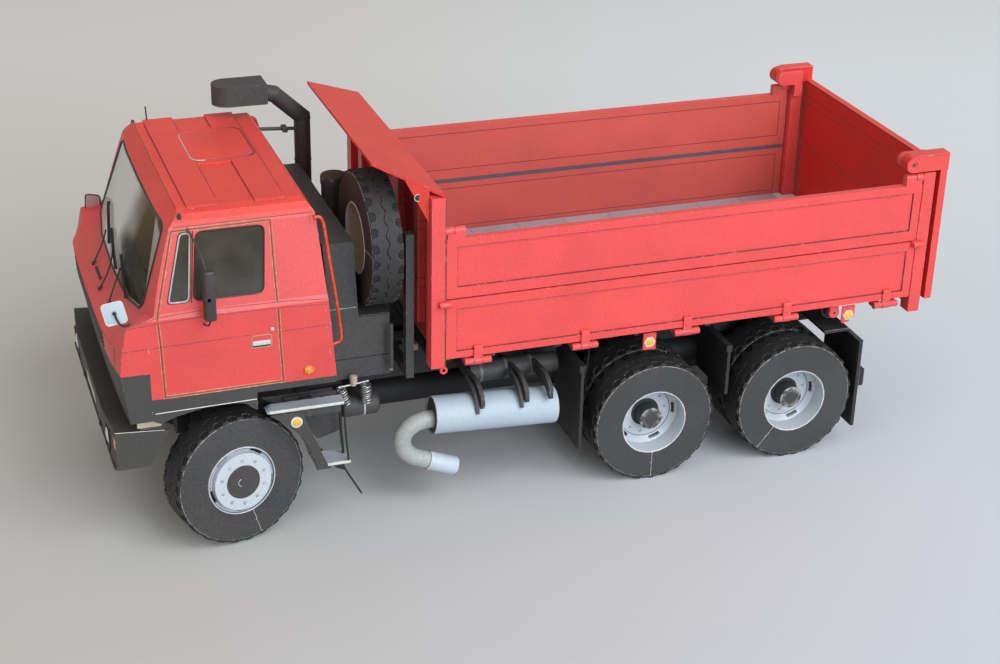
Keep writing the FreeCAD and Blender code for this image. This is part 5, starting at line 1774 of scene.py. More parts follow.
@dataclass
class Bumper:
    """Lamps, folds, blank plate and tow eyes of the front bumper."""

    half: float = 36.5
    top: float = 35.4
    skin: Skin = Skin(("bumper",), (-1, 0, 0))

    def build(self) -> None:
        """Make each fitting."""
        self.lamps()
        self.edges()
        self.tow()

    def seat(self, y: float, z: float) -> Matrix:
        """Place on the bumper's leaning face.

        Args:
            y: across the truck.
            z: height.

        Returns:
            A frame whose X points out of the face.
        """
        low, high = self.skin.point((110, y, z - 1.5)), self.skin.point((110, y, z + 1.5))
        lean = math.atan2(high.x - low.x, high.z - low.z)
        return Matrix.Translation((low + high) / 2) @ Matrix.Rotation(lean, 4, "Y")

    def lamps(self) -> None:
        """Round headlamps in square bezels, and orange corner lamps."""
        bezels, glasses, ambers = [], [], []
        for y in (-27.0, 27.0):
            seat = self.seat(y, 30.2)
            bezel = Piece.block("bezel", (-1.0, -3.4, -2.9), (0.12, 3.4, 2.9))
            bezel.inset(lambda _, way: way.x > 0.9, 0.3, -0.12)
            bezel.inset(lambda spot, way: way.x > 0.9 and spot.x < 0.1, 0.4, -0.25)
            bezels.append(bezel.place(seat))
            lens = Piece.lathe("lens",
                               [(0, 0.5), (1.1, 0.42), (1.9, 0.2), (2.3, -0.15), (2.3, -0.5), (0, -0.5)], 40)
            glasses.append(lens.place(seat @ stood((-0.1, 0, 0), -90)))
            amber = Piece.block("amber", (-0.6, -1.3, -1.25), (0.1, 1.3, 1.25)).round(0.14, 2)
            ambers.append(amber.place(self.seat(math.copysign(34.7, y), 32.0)))
        single("headlamp_bezels", RUBBER, *bezels)
        single("headlamp_glass", LAMP_GLASS, *glasses)
        single("corner_lamps", AMBER_GLASS, *ambers)

    def edges(self) -> None:
        """Scuffed folds along the bumper's top and the blank plate between the lamps."""
        folds = [Piece.wire("fold", [(97.0, y, 34.5), (108.8, y, self.top)], 0.09, sides=1)
                 for y in (0.02 - self.half, self.half - 0.02)]
        single("bumper_folds", LINE_PALE, *folds)
        plate = Piece.block("blank_plate", (-0.5, -7.0, -1.5), (0.1, 7.0, 1.5))
        plate.inset(lambda _, way: way.x > 0.9, 0.25, -0.06).place(self.seat(0, 30.0)).done(LINE_PALE)
        pair("fold_tab", CREAM, Piece.block("tab", (97.6, 35.6, 35.6), (103.4, 36.2, 37.4)).round(0.1, 1))

    def tow(self) -> None:
        """Two tow eyes on the bumper's face."""
        single("tow_eyes", DARK, *(
            Piece.hoop("eye", (self.skin.point((110, y, 26.4)).x - 0.55, y, 26.6), 0.95, 0.28, Axis.Y, 24)
            for y in (-14, 14)))


@dataclass
class Steps:
    """Folded treads, wires and spikes of the cab steps, dressed on both sides."""

    top: tuple[Point, Point] = ((52.8, 33.7, 35.3), (72.2, 37.6, 36.0))
    low: tuple[Point, Point] = ((51.3, 30.6, 18.2), (57.4, 37.2, 18.9))
    leg: tuple[Flat, ...] = ((71.4, 34.6), (63.5, 34.6), (56.9, 17.5), (59.9, 17.6), (60.6, 21.0),
                             (62.1, 24.9),
                             (64.1, 28.0), (66.6, 30.8), (69.2, 32.8))
    guard: tuple[Flat, ...] = ((66.5, 35.2), (51.9, 35.2), (51.6, 24.0), (58.0, 22.2), (62.6, 27.6))
    fin: tuple[Flat, ...] = ((57.4, 18.3), (52.9, 18.3), (51.8, 14.3), (54.2, 15.4))

    def build(self) -> None:
        """Make the left side's pieces and mirror them."""
        treads = []
        for (x0, y0, z0), (x1, y1, z1) in (self.top, self.low):
            tread = Piece.block("tread", (x0, y0, z0), (x1, y1 - 0.05, z1))
            tread.shift(lambda spot, _: spot.x > x1 - 0.1 and spot.z > z0 + 0.1 and x1 > 70, (-1.3, 0, 0))
            treads.append(tread.inset(lambda _, way: way.z > 0.9, 0.45, -0.12).round(0.1, 2))
        pair("step_tread", SILVER, *treads, node="step_treads")
        pair("step_lip", LINE_PALE,
             Piece.block("lip", (53.0, 37.42, 35.2), (71.6, 37.6, 35.95)).round(0.06, 2),
             Piece.block("lip_low", (51.4, 37.02, 18.1), (57.3, 37.2, 18.85)).round(0.06, 2))
        self.reflector()
        strut = Piece.wire("strut",
                           ((52.9, 37.1, 35.2), (52.7, 37.1, 30.0), (52.4, 37.1, 24.0), (51.9, 37.1, 18.9)),
                           0.27, smooth=True)
        inner = Piece.wire("inner_strut", ((53.0, 33.0, 35.2), (52.7, 33.0, 24.8), (52.2, 33.0, 18.9)), 0.36)
        pair("step_strut", RUBBER, strut, inner, smooth=60)
        pair("step_guard", INK, self.card(self.guard, 30.0, -0.35), self.card(self.leg, 37.0, 0.3))
        spike = Piece.wire("spike",
                           ((53.0, 34.0, 16.4), (51.9, 34.0, 14.3), (50.0, 34.0, 10.8), (47.9, 34.0, 6.9)),
                           0.26, smooth=True)
        pair("step_spike", RUBBER, self.card(self.fin, 33.9, 0.3), spike, smooth=60)

    def card(self, corners: Sequence[Flat], y: float, thick: float) -> Piece:
        """Upright card along the truck, cut to an outline of the side view."""
        return Piece.outline("card", [(x, y, z) for x, z in corners], (0, thick, 0))

    def reflector(self) -> None:
        """Yellow reflector in a pale ring on the outer bracket."""
        place = stood((64.9, 37.3, 31.9))
        disc = Piece.lathe("disc", [(0, 0.34), (0.8, 0.3), (1.12, 0.16), (1.18, -0.1), (0, -0.1)], 28)
        pair("step_reflector", YELLOW, disc.place(place))
        ring = Piece.lathe("ring", [(1.12, 0.2), (1.46, 0.16), (1.52, -0.1), (1.12, -0.1), (1.12, 0.2)], 28)
        pair("step_reflector_ring", LINE_PALE, ring.place(place))


@dataclass
class ChassisDetails:
    """Air coils, valve, drier, rod and block between the cab and the bed."""

    def build(self) -> None:
        """Make each group."""
        self.coils()
        self.drier()
        self.posts()
        self.seams()

    def coil(self, foot: Point, head: Point, radius: float, turns: int) -> Piece:
        """Close-wound wire spring.

        Args:
            foot: where its axis starts.
            head: where its axis ends.
            radius: radius of the turns.
            turns: how many there are.

        Returns:
            The piece.
        """
        axis = Vector(head) - Vector(foot)
        across = axis.orthogonal().normalized()
        other = axis.normalized().cross(across)
        count = turns * 12
        spots = []
        for step in range(count + 1):
            angle = math.tau * step / 12
            reach = radius * (1 + 0.07 * math.sin(step * 0.9))
            spots.append(Vector(foot) + axis * step / count + across * math.cos(angle) * reach
                         + other * math.sin(angle) * reach)
        return Piece.wire("coil", spots, 0.2, smooth=True, sides=1)

    def coils(self) -> None:
        """Two wire coils joined by a bright rod, with a ridged valve on it."""
        rod = Piece.wire("rod", ((52.5, 30.0, 35.9), (48.6, 30.0, 36.2), (44.6, 30.0, 36.7)), 0.3,
                         smooth=True)
        single("air_coils", STEEL, self.coil((50.4, 30.0, 31.2), (51.9, 30.0, 35.8), 1.15, 7),
               self.coil((45.2, 30.0, 31.0), (45.4, 30.0, 36.0), 1.35, 8), rod,
               Piece.wire("foot", ((45.2, 28.9, 31.4), (45.2, 27.4, 31.4)), 0.25),
               Piece.wire("foot", ((50.4, 28.9, 31.4), (50.0, 27.0, 30.8)), 0.25), smooth=60)
        ridges = [(0, 2.5), (0.7, 2.5), (0.96, 2.36), (0.98, 1.95), (0.78, 1.8), (0.98, 1.65), (0.98, 1.2),
                  (0.78, 1.05), (0.95, 0.9), (0.95, 0.5), (0.7, 0.35), (0.7, -0.2), (0, -0.2)]
        Piece.lathe("air_valve", ridges, 28).place(stood((48.5, 30.0, 36.2), 90, "X")).done(CREAM_PINK,
                                                                                            smooth=30)

    def drier(self) -> None:
        """Round-ended canister under the coils with a pale band, on a bracket from the rail."""
        can = Piece.lathe("can", [(0, 5.1), (1.6, 5.0), (2.5, 4.4), (2.8, 3.6), (2.8, -4.4), (2.6, -4.9),
                                  (0, -4.9)], 40)
        bracket = Piece.block("bracket", (44.6, 12.6, 27.6), (47.2, 25.0, 29.2)).round(0.2, 2)
        single("air_drier", INK, can.place(stood((46.0, 26.4, 28.4), 90)), bracket)
        band = Piece.lathe("drier_band",
                           [(2.7, 0.28), (2.94, 0.24), (2.94, -0.24), (2.7, -0.28), (2.7, 0.28)], 40)
        band.place(stood((45.4, 26.4, 28.4), 90)).done(FRAME_GREY)

    def posts(self) -> None:
        """Thin rod with its nut and the bare tan block behind the cover."""
        single("carrier_rods", INK, Piece.wire("carrier_rod", ((38.8, 30.6, 52.0), (38.8, 30.6, 39.2)), 0.55),
               Piece.drum("nut", (38.8, 30.6, 39.3), 0.72, 0.7, Axis.Z, 6).round(0.08, 1))
        Piece.block("tan_block", (28.6, 16.0, 38.2), (31.9, 20.0, 40.0)).round(0.1, 2).done(BARE_WOOD)

    def seams(self) -> None:
        """Shut lines and folds of the engine cover."""
        skin = Skin(("engine_cover",), (0, -1, 0))
        pair("cover_seam", GROOVE, skin.line([(53.6, 28, 42.5), (38.7, 28, 42.5)], 0.13),
             skin.line([(46.4, 28, 53.7), (38.7, 28, 53.7)], 0.09))
        pair("cover_fold", SILVER, skin.line([(53.9, 28, 56.5), (47.0, 28, 56.5)], 0.06))


@dataclass
class Exhaust:
    """Silencer with its claws, and the rolled pipe of short rings with its white sleeve."""

    centre: Flat = (33.0, 26.0)
    radius: float = 4.9
    ends: Flat = (-4.0, 29.0)
    bore: float = 2.3
    droop: float = -3.2                  # degrees that the silencer's rear end hangs
    tail: float = -22.0                  # degrees that the tail pipe hangs
    bend: tuple[Flat, ...] = ((28.6, 24.9), (31.2, 24.9), (33.4, 24.3), (35.2, 23.1), (36.4, 21.5),
                              (36.8, 19.7),
                              (36.5, 17.8), (35.6, 16.2), (34.1, 14.9), (32.2, 14.0), (30.0, 13.1),
                              (28.6, 12.5))
    hooks: tuple[float, ...] = (16.5, 4.6, -1.9)

    def build(self) -> None:
        """Make the silencer, its claws, the pipe and the sleeve."""
        self.silencer()
        self.claws()
        self.pipe()

    def hung(self, x: float, z: float, tilt: float, reach: float) -> Matrix:
        """Frame on a hanging axis, with its Y along the axis.

        Args:
            x: a place on the axis, along the truck.
            z: its height.
            tilt: how far the axis leans nose up, in degrees.
            reach: how far in front of that place the frame stands.

        Returns:
            The matrix, in millimetres.
        """
        slope = math.tan(math.radians(-tilt))
        return (stood((x + reach, self.centre[0], z + reach * slope), tilt, "Y")
                @ Matrix.Rotation(-math.pi / 2, 4, "Z"))

    def claws(self) -> None:
        """Three folded hooks over the silencer, two with a second leaf against it."""
        y, z = self.centre
        reach = self.radius + 0.1
        hugs = [(y + reach * math.cos(a), z + reach * math.sin(a))
                for a in map(math.radians, (38, 50, 62, 74, 86, 98, 112))]
        outer = [(12.6, 31.2), (12.6, 32.2), (31.0, 34.4), (34.0, 34.4), (36.4, 33.3), (38.6, 31.7),
                 (38.8, 28.9),
                 (38.3, 28.6), *hugs, (26.0, 31.6)]
        close = [(28.0, 33.6), (33.2, 33.2), (36.0, 31.9), (37.6, 30.0), (38.4, 27.2), (37.9, 27.2), *hugs]
        leaves = []
        for number, x in enumerate(self.hooks):
            leaves.append(Piece.outline("leaf", [(x, *spot) for spot in outer], (1.1, 0, 0)).round(0.08, 1))
            if number < 2:
                leaf = Piece.outline("leaf", [(x + 1.3, *spot) for spot in close], (0.9, 0, 0))
                leaves.append(leaf.round(0.08, 1))
        single("silencer_claws", INK, *leaves, node="silencer_hooks")

    def silencer(self) -> None:
        """Rolled white drum with dark sunk ends."""
        rear, front = self.ends
        half = (front - rear) / 2
        skin, bare, lip = self.radius, self.radius - 0.02, self.radius - 0.28
        drum = Piece.lathe("silencer_drum", [
            (0, half - 0.25), (lip, half - 0.25), (lip, half), (bare, half), (skin, half - 0.08),
            (skin, 0.08 - half),
            (bare, -half), (lip, -half), (lip, 0.25 - half), (0, 0.25 - half)], 96)
        drum.coat(DRUM_WHITE).paint(lambda spot, way: abs(spot.y) > half - 0.3 and abs(way.y) > 0.7
                                    and math.hypot(spot.x, spot.z) < self.radius - 0.3, SIDEWALL)
        place = self.hung(front, self.centre[1], self.droop, -half)
        drum.place(place).done(None, node="silencer", slot="white_card")
        rims = [Piece.hoop("rim", (0, 0, 0), self.radius - 0.1, 0.1, sides=72).place(
            self.hung(front, self.centre[1], self.droop, reach)) for reach in (-0.03, rear + 0.03 - front)]
        single("silencer_rims", SIDEWALL, *rims)

    def pipe(self) -> None:
        """Short straight, wide half turn and tail in rings, then the sleeve."""
        y = self.centre[0]
        tube = Piece.wire("exhaust_bend", [(x, y, z) for x, z in self.bend], self.bore, sides=12)
        tube.round(0.05, 1, 8).done(PIPE, smooth=12, node="exhaust_pipe")
        rings = []
        for (x0, z0), (x1, z1) in zip(self.bend[1:-1:2], self.bend[2::2]):
            hoop = Piece.hoop("ring", (0, 0, 0), self.bore - 0.02, 0.05, sides=32)
            rings.append(hoop.place(axle((x0, y, z0), (x1 - x0, 0, z1 - z0), (0, 1, 0))))
        single("exhaust_ring_seams", PIPE_SEAM, *rings)
        sleeve = Piece.lathe("exhaust_sleeve",
                             [(1.75, 4.0), (1.78, 4.18), (2.42, 4.2), (2.48, 4.1), (2.48, -3.9),
                                                (2.4, -4.0), (1.75, -4.0), (1.75, 4.0)], 48)
        sleeve.place(self.hung(*self.bend[-1], self.tail, -2.4)).done(WHITE)
        rims = [Piece.hoop("rim", (0, 0, 0), 2.42, 0.09, sides=40).place(
            self.hung(*self.bend[-1], self.tail, reach - 2.4)) for reach in (-3.75, 3.85)]
        single("exhaust_sleeve_rims", SIDEWALL, *rims)


# ------------------------------------------------------------------ inside the cab
@dataclass
class Interior:
    """Rounded seats, dashboard with its dial hood and a spoked steering wheel."""

    wheel: Point = (88.0, 16.0, 57.0)
    turn: float = 84.4                   # how far the wheel is turned to face the seat, in degrees

    def build(self) -> None:
        """Make the seats, then the dashboard and the steering wheel."""
        cushion = Piece.block("cushion", (64.6, 8, 44.2), (77, 24, 50.6)).inset(lambda _, way: way.z > 0.9,
                                                                                1.1, 0.35)
        back = Piece.block("back", (62, 8, 44.2), (65.4, 24, 68)).inset(lambda _, way: way.x > 0.9, 1.4, 0.3)
        pair("seat", SEAT, *(part.round(0.9, 4, 40) for part in (cushion, back)), node="seats")
        self.dashboard()
        self.steering()

    def dashboard(self) -> None:
        """Folded dashboard and its dial hood."""
        dash = Piece.block("dash", (95, -30, 44), (98, 30, 59)).slice((96, 0, 54), (0, 0, 1))
        dash.push(lambda spot, way: way.x < -0.9 and spot.z > 54, (-1.6, 0, 0)).round(0.5, 3)
        hood = Piece.block("hood", (92.6, 9, 58.5), (96.5, 23, 61.6))
        hood.shift(lambda spot, _: spot.z > 61 and spot.x < 93, (1.2, 0, 0)).round(0.5, 3)
        single("dashboard_card", DASH, dash, hood, node="dashboard")

    def steering(self) -> None:
        """Steering wheel on its column."""
        rim = Piece.hoop("rim", (0, 0, 0), 5.1, 0.38, Axis.Y, 48)
        spokes = [Piece.wire("spoke", ((0, 0, 0), (5.0 * math.cos(a), 0, 5.0 * math.sin(a))), 0.28)
                  for a in map(math.radians, (90, 205, 335))]
        hub = Piece.lathe("hub", [(0, 0.6), (0.9, 0.5), (1.2, 0), (0.8, -0.9), (0.7, -8.0), (0, -8.0)], 24)
        wheel = rim.join([*spokes, hub]).place(stood(self.wheel, self.turn))
        wheel.rename("steering_wheel").done(RUBBER, smooth=60)


# ------------------------------------------------------------------ the bed
BED = "dump_bed"
LOWER = "board_lower_{}"


@dataclass
class Reflector:
    """Yellow disc in a pale ring on a small red plate."""

    x: float
    z: float
    half: float = 1.8
    face: float = 38.0
    clip: float = 0.2

    def build(self, name: str) -> None:
        """Make it on both sides of the bed, under names that start alike."""
        rear, front, low, top = self.x - self.half, self.x + self.half, self.z - 2.2, 43.4
        corners = ((rear, top), (rear, low + self.clip), (rear + self.clip, low), (front, low), (front, top))
        plate = Piece.outline("plate", [(x, self.face - 0.5, z) for x, z in corners], (0, 0.5, 0))
        pair(name + "_plate", RED, plate.round(0.1, 1), body=BED)
        place = stood((self.x, self.face, self.z))
        disc = Piece.lathe("disc", [(0, 0.34), (0.85, 0.3), (1.16, 0.16), (1.2, -0.1), (0, -0.1)], 28)
        pair(name, YELLOW, disc.place(place), body=BED)
        ring = Piece.lathe("ring", [(1.14, 0.18), (1.55, 0.12), (1.6, -0.1), (1.14, -0.1), (1.14, 0.18)], 6)
        pair(name + "_ring", LINE_PALE, ring.place(place), body=BED, smooth=10)


@dataclass
class BedTrim:
    """Hinge pins, latches, wires, reflectors, lugs, gusset pins and corner posts of the bed."""

    hinges: tuple[float, ...] = (19.0, -9.6, -37.9, -66.4, -96.0)
    low_pin: Flat = (39.3, 43.2)
    top_pin: Flat = (38.4, 78.6)
    gusset: Point = (33.7, 38.0, 87.2)
    post: float = 27.5

    def build(self) -> None:
        """Make each group."""
        self.hinge_pins()
        self.latches()
        self.top_collars()
        self.wires()
        strip = Piece.block("strip", (-102.6, 37.28, 59.95), (26.9, 37.42, 60.92))
        pair("gap_strip", SLATE, strip.inset(lambda _, way: way.y < -0.9, 0.08, 0.02), body=LOWER)
        self.gusset_pins()
        self.gate_caps()
        self.posts()
        Reflector(-28.3, 40.9).build("reflector_mid")
        Reflector(-86.0, 40.8, 1.9, clip=1.8).build("reflector_rear")

    def hinge_pins(self) -> None:
        """Dark pin ends, rolled-card seams and the strap's folded top at every low hinge."""
        y, z = self.low_pin
        pins, seams, tops = [], [], []
        for x in self.hinges:
            pins.append(Piece.wire("pin", [(x - 3.75, y, z), (x + 3.75, y, z)], 0.42))
            for shift, radius, thick in ((-1.08, 0.92, 0.07), (1.08, 0.92, 0.07), (-3.42, 0.82, 0.09),
                                         (3.42, 0.82, 0.09)):
                seam = Piece.hoop("seam", (0, 0, 0), radius, thick, sides=20)
                seams.append(seam.place(stood((x + shift, y, z), 90)))
            strap = Piece.block("fold", (x - 1.12, 39.75, z + 0.6), (x + 1.12, 40.0, 47.6))
            strap.slice((x, 40, 46.9), (0, 0, 1)).shift(lambda spot, _: spot.z > 47.5, (0, -0.12, 0))
            tops.append(strap.round(0.06, 1))
        pair("hinge_pins", INK, *pins, body=BED)
        pair("hinge_seams", LINE_RED, *seams, body=BED)
        pair("hinge_straps", RED, *tops, body=LOWER)

    def latches(self) -> None:
        """Rolled latches at both ends of the boards, with open dark ends."""
        rolls, cores = [], []
        for x0, x1, z in ((26.2, 29.4, 59.9), (-105.2, -101.6, 60.1)):
            tube = Piece.lathe("tube", [(0.42, 1.5), (0.78, 1.55), (0.84, 1.45), (0.84, -1.45), (0.78, -1.55),
                                        (0.42, -1.5), (0.42, 1.5)], 24)
            x = x0 + 0.9 if x0 > 0 else x1 - 0.9
            strap = Piece.block("strap", (x - 0.8, 39.3, z - 0.9), (x + 0.8, 40.4, z + 0.9)).round(0.2, 2)
            rolls += [tube.place(stood(((x0 + x1) / 2, 40.25, z), 90)), strap]
            cores.append(Piece.wire("core", [(x0 + 0.2, 40.25, z), (x1 - 0.2, 40.25, z)], 0.44))
        pair("board_latch", RED, *rolls, body=LOWER)
        pair("latch_core", LINE_RED, *cores, body=LOWER)

    def top_collars(self) -> None:
        """Fixed collars and dark seams of the upper boards' hinges."""
        collars, seams = [], []
        for low, high in ((25.3, 27.7), (-103.3, -101.2)):
            collar = Piece.lathe("collar", [(0.7, 0.5), (1.1, 0.5), (1.16, 0.44), (1.16, -0.44), (1.1, -0.5),
                                            (0.7, -0.5), (0.7, 0.5)], 28)
            collars.append(collar.place(stood(((low + high) / 2, *self.top_pin), 90)
                                        @ Matrix.Diagonal((1, high - low, 1, 1))))
            seam = Piece.hoop("seam", (0, 0, 0), 1.08, 0.1, sides=24)
            seams.append(seam.place(stood((low if low > 0 else high, *self.top_pin), 90)))
        pair("top_collar", RED, *collars, body=BED)
        pair("top_collar_seam", LINE_RED, *seams, body=BED)

    def wires(self) -> None:
        """Brown wire down each front post with its ring, and the fine hanging wire."""
        x = self.post
        drop = Piece.wire("drop", ((x, 39.2, 87.0), (x, 39.25, 64.0), (x + 0.05, 39.2, 42.2)), 0.16,
                          smooth=True)
        pair("post_wire", LINE_BROWN, drop, body=BED)
        pair("post_ring", RED, Piece.hoop("ring", (x + 0.1, 38.55, 41.2), 0.72, 0.34, Axis.Y, 24), body=BED,
             smooth=60)
        hang = Piece.wire("hang", ((-11.4, 38.0, 43.6), (-11.6, 38.05, 40.0), (-11.0, 38.0, 36.0),
                                   (-10.7, 37.9, 33.0)),
                          0.13, smooth=True)
        pair("flap_wire", RUBBER, hang)

    def gusset_pins(self) -> None:
        """Dark pin ends in grey rings on the canopy's gussets, and red lugs under the bed."""
        face = Skin(("canopy",), (0, -1, 0)).point(self.gusset) or Vector((33.7, 38.6, 87.2))
        pin = Piece.lathe("pin", [(0, 0.12), (0.72, 0.12), (0.8, 0.02), (0.8, -0.6), (0, -0.6)], 28)
        pair("gusset_pin", RUBBER, pin.place(stood(face)), body=BED)
        ring = Piece.hoop("ring", (face.x, face.y + 0.02, face.z), 0.86, 0.13, sides=32)
        pair("gusset_ring", FRAME_GREY, ring, body=BED)
        lug = Piece.lathe("lug", [(0.35, 0.5), (1.35, 0.5), (1.5, 0.38), (1.5, -0.6), (0.35, -0.6),
                                  (0.35, 0.5)], 32)
        web = Piece.block("web", (-83.6, 36.0, 41.6), (-81.0, 36.9, 43.8)).round(0.1, 1)
        pair("bed_lug", RED, lug.place(stood((-82.3, 36.6, 41.4))), web, body=BED)

    def gate_caps(self) -> None:
        """Folded slabs on the tailgate's arms and their pins."""
        slab = Piece.block("slab", (-110.0, 36.0, 84.65), (-99.2, 39.7, 85.05))
        slab.shift(lambda spot, _: spot.x > -100 and spot.y > 39, (-0.5, 0, 0)).slice((-101.2, 38, 84.8),
                                                                                      (1, 0, 0))
        slab.shift(lambda spot, _: spot.x > -100, (0, 0, -0.35)).round(0.08, 1)
        pair("gate_slab", RED, slab, body="tailgate")
        pin = Piece.lathe("pin", [(0, 0.16), (0.4, 0.1), (0.48, -0.1), (0, -0.3)], 16)
        pair("gate_pin", LINE_RED, pin.place(stood((-99.7, 39.62, 82.5))), body=BED)

    def posts(self) -> None:
        """Rear corner posts with slim rounded ears beside the tailgate's arms."""
        post = Piece.block("post", (-106.7, 35.4, 39.9), (-103.3, 39.4, 79.8)).round(0.12, 1)
        foot = Piece.block("foot", (-106.7, 33.4, 41.9), (-103.3, 35.4, 43.8)).round(0.1, 1)
        end = [(-99.7 + 2.0 * math.cos(a), 82.4 + 2.0 * math.sin(a)) for a in map(math.radians,
                                                                                  range(-90, 91, 15))]
        corners = [(-105.7, 84.4), (-105.7, 76.8), (-103.3, 76.8), (-103.3, 80.4), *end]
        ear = Piece.outline("ear", [(x, 36.0, z) for x, z in corners], (0, -2.0, 0)).round(0.1, 1)
        pivot = Piece.drum("pivot", (-99.7, 37.4, 82.5), 0.9, 4.1, Axis.Y, 24)
        hinge = Piece.drum("hinge", (-100.7, *self.top_pin), 0.6, 5.2, Axis.X, 24)
        boss = Piece.lathe("boss", [(0, 0.16), (0.42, 0.12), (0.5, -0.1), (0, -0.3)], 16)
        boss.place(stood((-99.7, 36.0, 82.5), 180))
        pair("corner_post", RED, post, foot, ear, pivot, hinge, boss, body=BED, node="rear_posts")


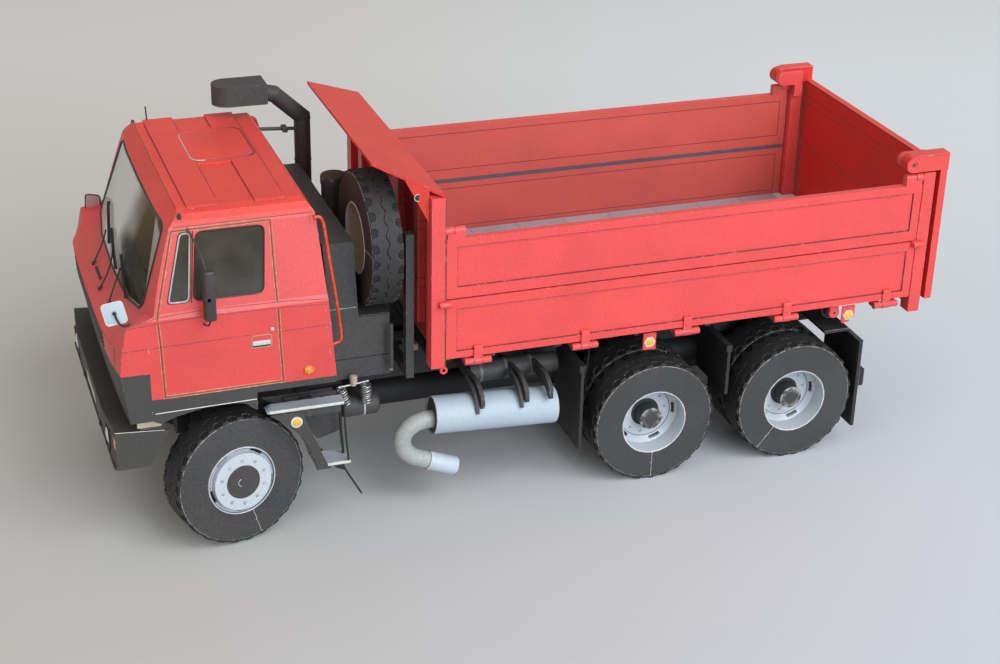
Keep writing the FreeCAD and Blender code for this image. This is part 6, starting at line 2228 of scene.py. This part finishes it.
@dataclass
class UnderBody:
    """Tank bands, straps and caps, rear lamps, snorkel stay, filter lid and the barrel's gland."""

    frame: dict[str, object]
    strap: tuple[Flat, ...] = ((-37.62, 21.4), (-36.1, 19.88), (-21.9, 19.88), (-21.9, 20.2), (-35.9, 20.2),
                               (-37.3, 21.6), (-37.3, 32.9), (-35.9, 34.3), (-21.9, 34.3), (-21.9, 34.62),
                               (-36.1, 34.62), (-37.62, 33.1))

    def build(self) -> None:
        """Make each group."""
        self.tanks()
        self.lamps()
        self.snorkel()
        self.filter()
        self.hoist()

    def tanks(self) -> None:
        """Pale bands and dished ends on the air tank; straps and cap on the fuel tank."""
        band = [(2.6, 0.42), (2.8, 0.38), (2.8, -0.38), (2.6, -0.42), (2.6, 0.42)]
        single("air_tank_bands", SILVER_DARK,
               *(Piece.lathe("band", band, 40).place(stood((x, 23.2, 31.3), -90))
                                                for x in (13.1, 6.2, -0.7)))
        end = [(0, 0.55), (1.2, 0.45), (2.2, 0.1), (2.68, -0.3), (0, -0.3)]
        # the tank's ends take the lightened black, which is painted light
        single("air_tank_ends", TANK_INK_LIT, *(Piece.lathe("end", end, 40).place(stood((x, 23.2, 31.3), turn))
                                            for x, turn in ((15.75, -90), (-7.75, 90))))
        straps = [Piece.outline("strap", [(x - 0.7, y, z) for y, z in self.strap], (1.4, 0, 0))
                  for x in (1.0, 11.0, 21.0)]
        single("fuel_tank_straps", SILVER_DARK, *straps, smooth=20)
        cap = Piece.lathe("fuel_cap", [(0, 1.1), (1.3, 1.05), (1.6, 0.8), (1.6, 0.2), (1.9, 0.1), (1.9, -0.3),
                                       (0, -0.3)], 32)
        cap.place(stood((16.0, -30.0, 34.5), 90, "X")).done(SILVER)

    def lamps(self) -> None:
        """Lenses on the rear lamp boxes and grey edges on the rear flaps."""
        for name, low, high, finish in (("red", 32.6, 35.6, LAMP_RED), ("amber", 29.4, 32.3, AMBER_GLASS)):
            lens = Piece.block("lens", (-94.55, low, 17.8), (-94.0, high, 22.0))
            lens.inset(lambda _, way: way.x < -0.9, 0.3, 0.1)
            pair("rear_lamp_" + name, finish, lens.round(0.12, 2))
        edge = [(x, 37.95, z) for x, z in ((-80.0, 36.75), (-86.8, 36.75), (-91.55, 32.4), (-91.55, 6.5))]
        pair("flap_edge", SILVER_DARK, Piece.wire("edge", edge, 0.08))

    def snorkel(self) -> None:
        """Stay to the cab, the pipe's ring seams and the head's lower rim."""
        stay = Piece.wire("stay", ((47.0, -30.2, 83.0), (52.0, -29.0, 83.8), (57.6, -29.0, 84.2)), 0.5)
        plate = Piece.block("plate", (50.2, -30.6, 83.0), (51.6, -27.6, 84.4)).round(0.15, 1)
        single("snorkel_stay", INK, stay, plate)
        ring = [(2.1, 0.3), (2.32, 0.25), (2.32, -0.25), (2.1, -0.3), (2.1, 0.3)]
        single("snorkel_rings", INK, *(Piece.lathe("ring", ring, 32).place(stood((45.6, -31, z), 90, "X"))
                                       for z in (60.0, 74.0, 85.6)))
        rim = [(x, y, 92.55) for x, y in rounded(oblong((56.1, -32.4), (69.8, -24.6)), 3.6, 6)]
        Piece.wire("snorkel_rim", rim, 0.12, closed=True, sides=1).done(SILVER_DARK)

    def filter(self) -> None:
        """Rolled lid of the air filter, its top painted warm brown, which is painted light from above."""
        lid = Piece.lathe("filter_lid",
                          [(0, 0.25), (2.5, 0.3), (3.3, 0.1), (3.5, -0.2), (3.5, -2.2), (3.3, -2.4),
                                         (2.0, -2.4)], 40)
        lid.coat(INK).paint(lambda _, way: way.y > 0.7, LID_TOP_WARM_LIT).place(stood((43.5, -6.0, 78.4), 90, "X"))
        lid.done(None, slot="black_card")

    def hoist(self) -> None:
        """Gland ring round the top of the barrel."""
        joints = {joint["name"]: joint for joint in self.frame["joints"]}
        place = axle(Vector(joints["hoist_tilt"]["pos_m"]) / MM, joints["hoist_extend_1"]["axis"])
        gland = Piece.lathe("hoist_gland",
                            [(4.4, 0.5), (4.62, 0.5), (4.78, 0.36), (4.78, -0.36), (4.62, -0.5),
                                            (4.4, -0.5), (4.4, 0.5)], 48)
        gland.place(place @ stood((0, 5.7, 0))).done(SILVER_DARK, "hoist_barrel")



# ------------------------------------------------------------------ finishes on the carried-over forms
DRESSING: tuple[tuple[Finish, tuple[str, ...]], ...] = (
    (CAB_RED, ("cab_front", "cab_side_left", "cab_side_right", "cab_rear_wall")),
    (ROOF_RED_SHADED, ("cab_roof",)),
    (CAB_INK, ("cab_base", "cab_apron")),
    (BUMPER_INK, ("bumper",)),
    (CANOPY_RED_SHADED, ("canopy",)),
    (HEAD, ("headboard",)),
    (LOWER_BOARD, ("side_board_lower_left", "side_board_lower_right")),
    (UPPER_BOARD, ("side_board_upper_left", "side_board_upper_right")),
    (GATE, ("tailgate",)),
    (FLOOR, ("bed_floor",)),
    (INK, ("engine_cover", "step_brackets", "spare_carrier", "fuel_tank", "air_intake", "air_filter")),
    (TANK_INK_LIT, ("air_tank",)),
    (FLAP, ("mudguards",)),
    (DARK, ("frame_rails", "backbone_tube", "front_axle", "rear_axles", "knuckle_left", "knuckle_right",
            "engine_block", "hoist_barrel")),
    (SILVER, ("hoist_stage_1", "hoist_stage_2", "hoist_stage_3", "hoist_rod")),
    (SIDE_FILM, ("side_windows",)),
)


class Part(Protocol):
    """Anything that main can build."""

    def build(self) -> object:
        """Make the part's pieces."""


def main() -> None:
    """Build the truck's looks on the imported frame."""
    logging.basicConfig(level=logging.INFO, format="%(message)s")
    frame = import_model()
    for finish, nodes in DRESSING:
        finish.dress(*nodes)
    Studio().build()
    parts: list[Part] = [Wheels(frame), CabSides(), CabRoof(), CabFace(), Mirrors(), Bumper(), Steps(),
                         ChassisDetails(), Exhaust(), Interior(), BedTrim(), UnderBody(frame)]
    for part in parts:
        part.build()


if __name__ == "__main__":
    main()
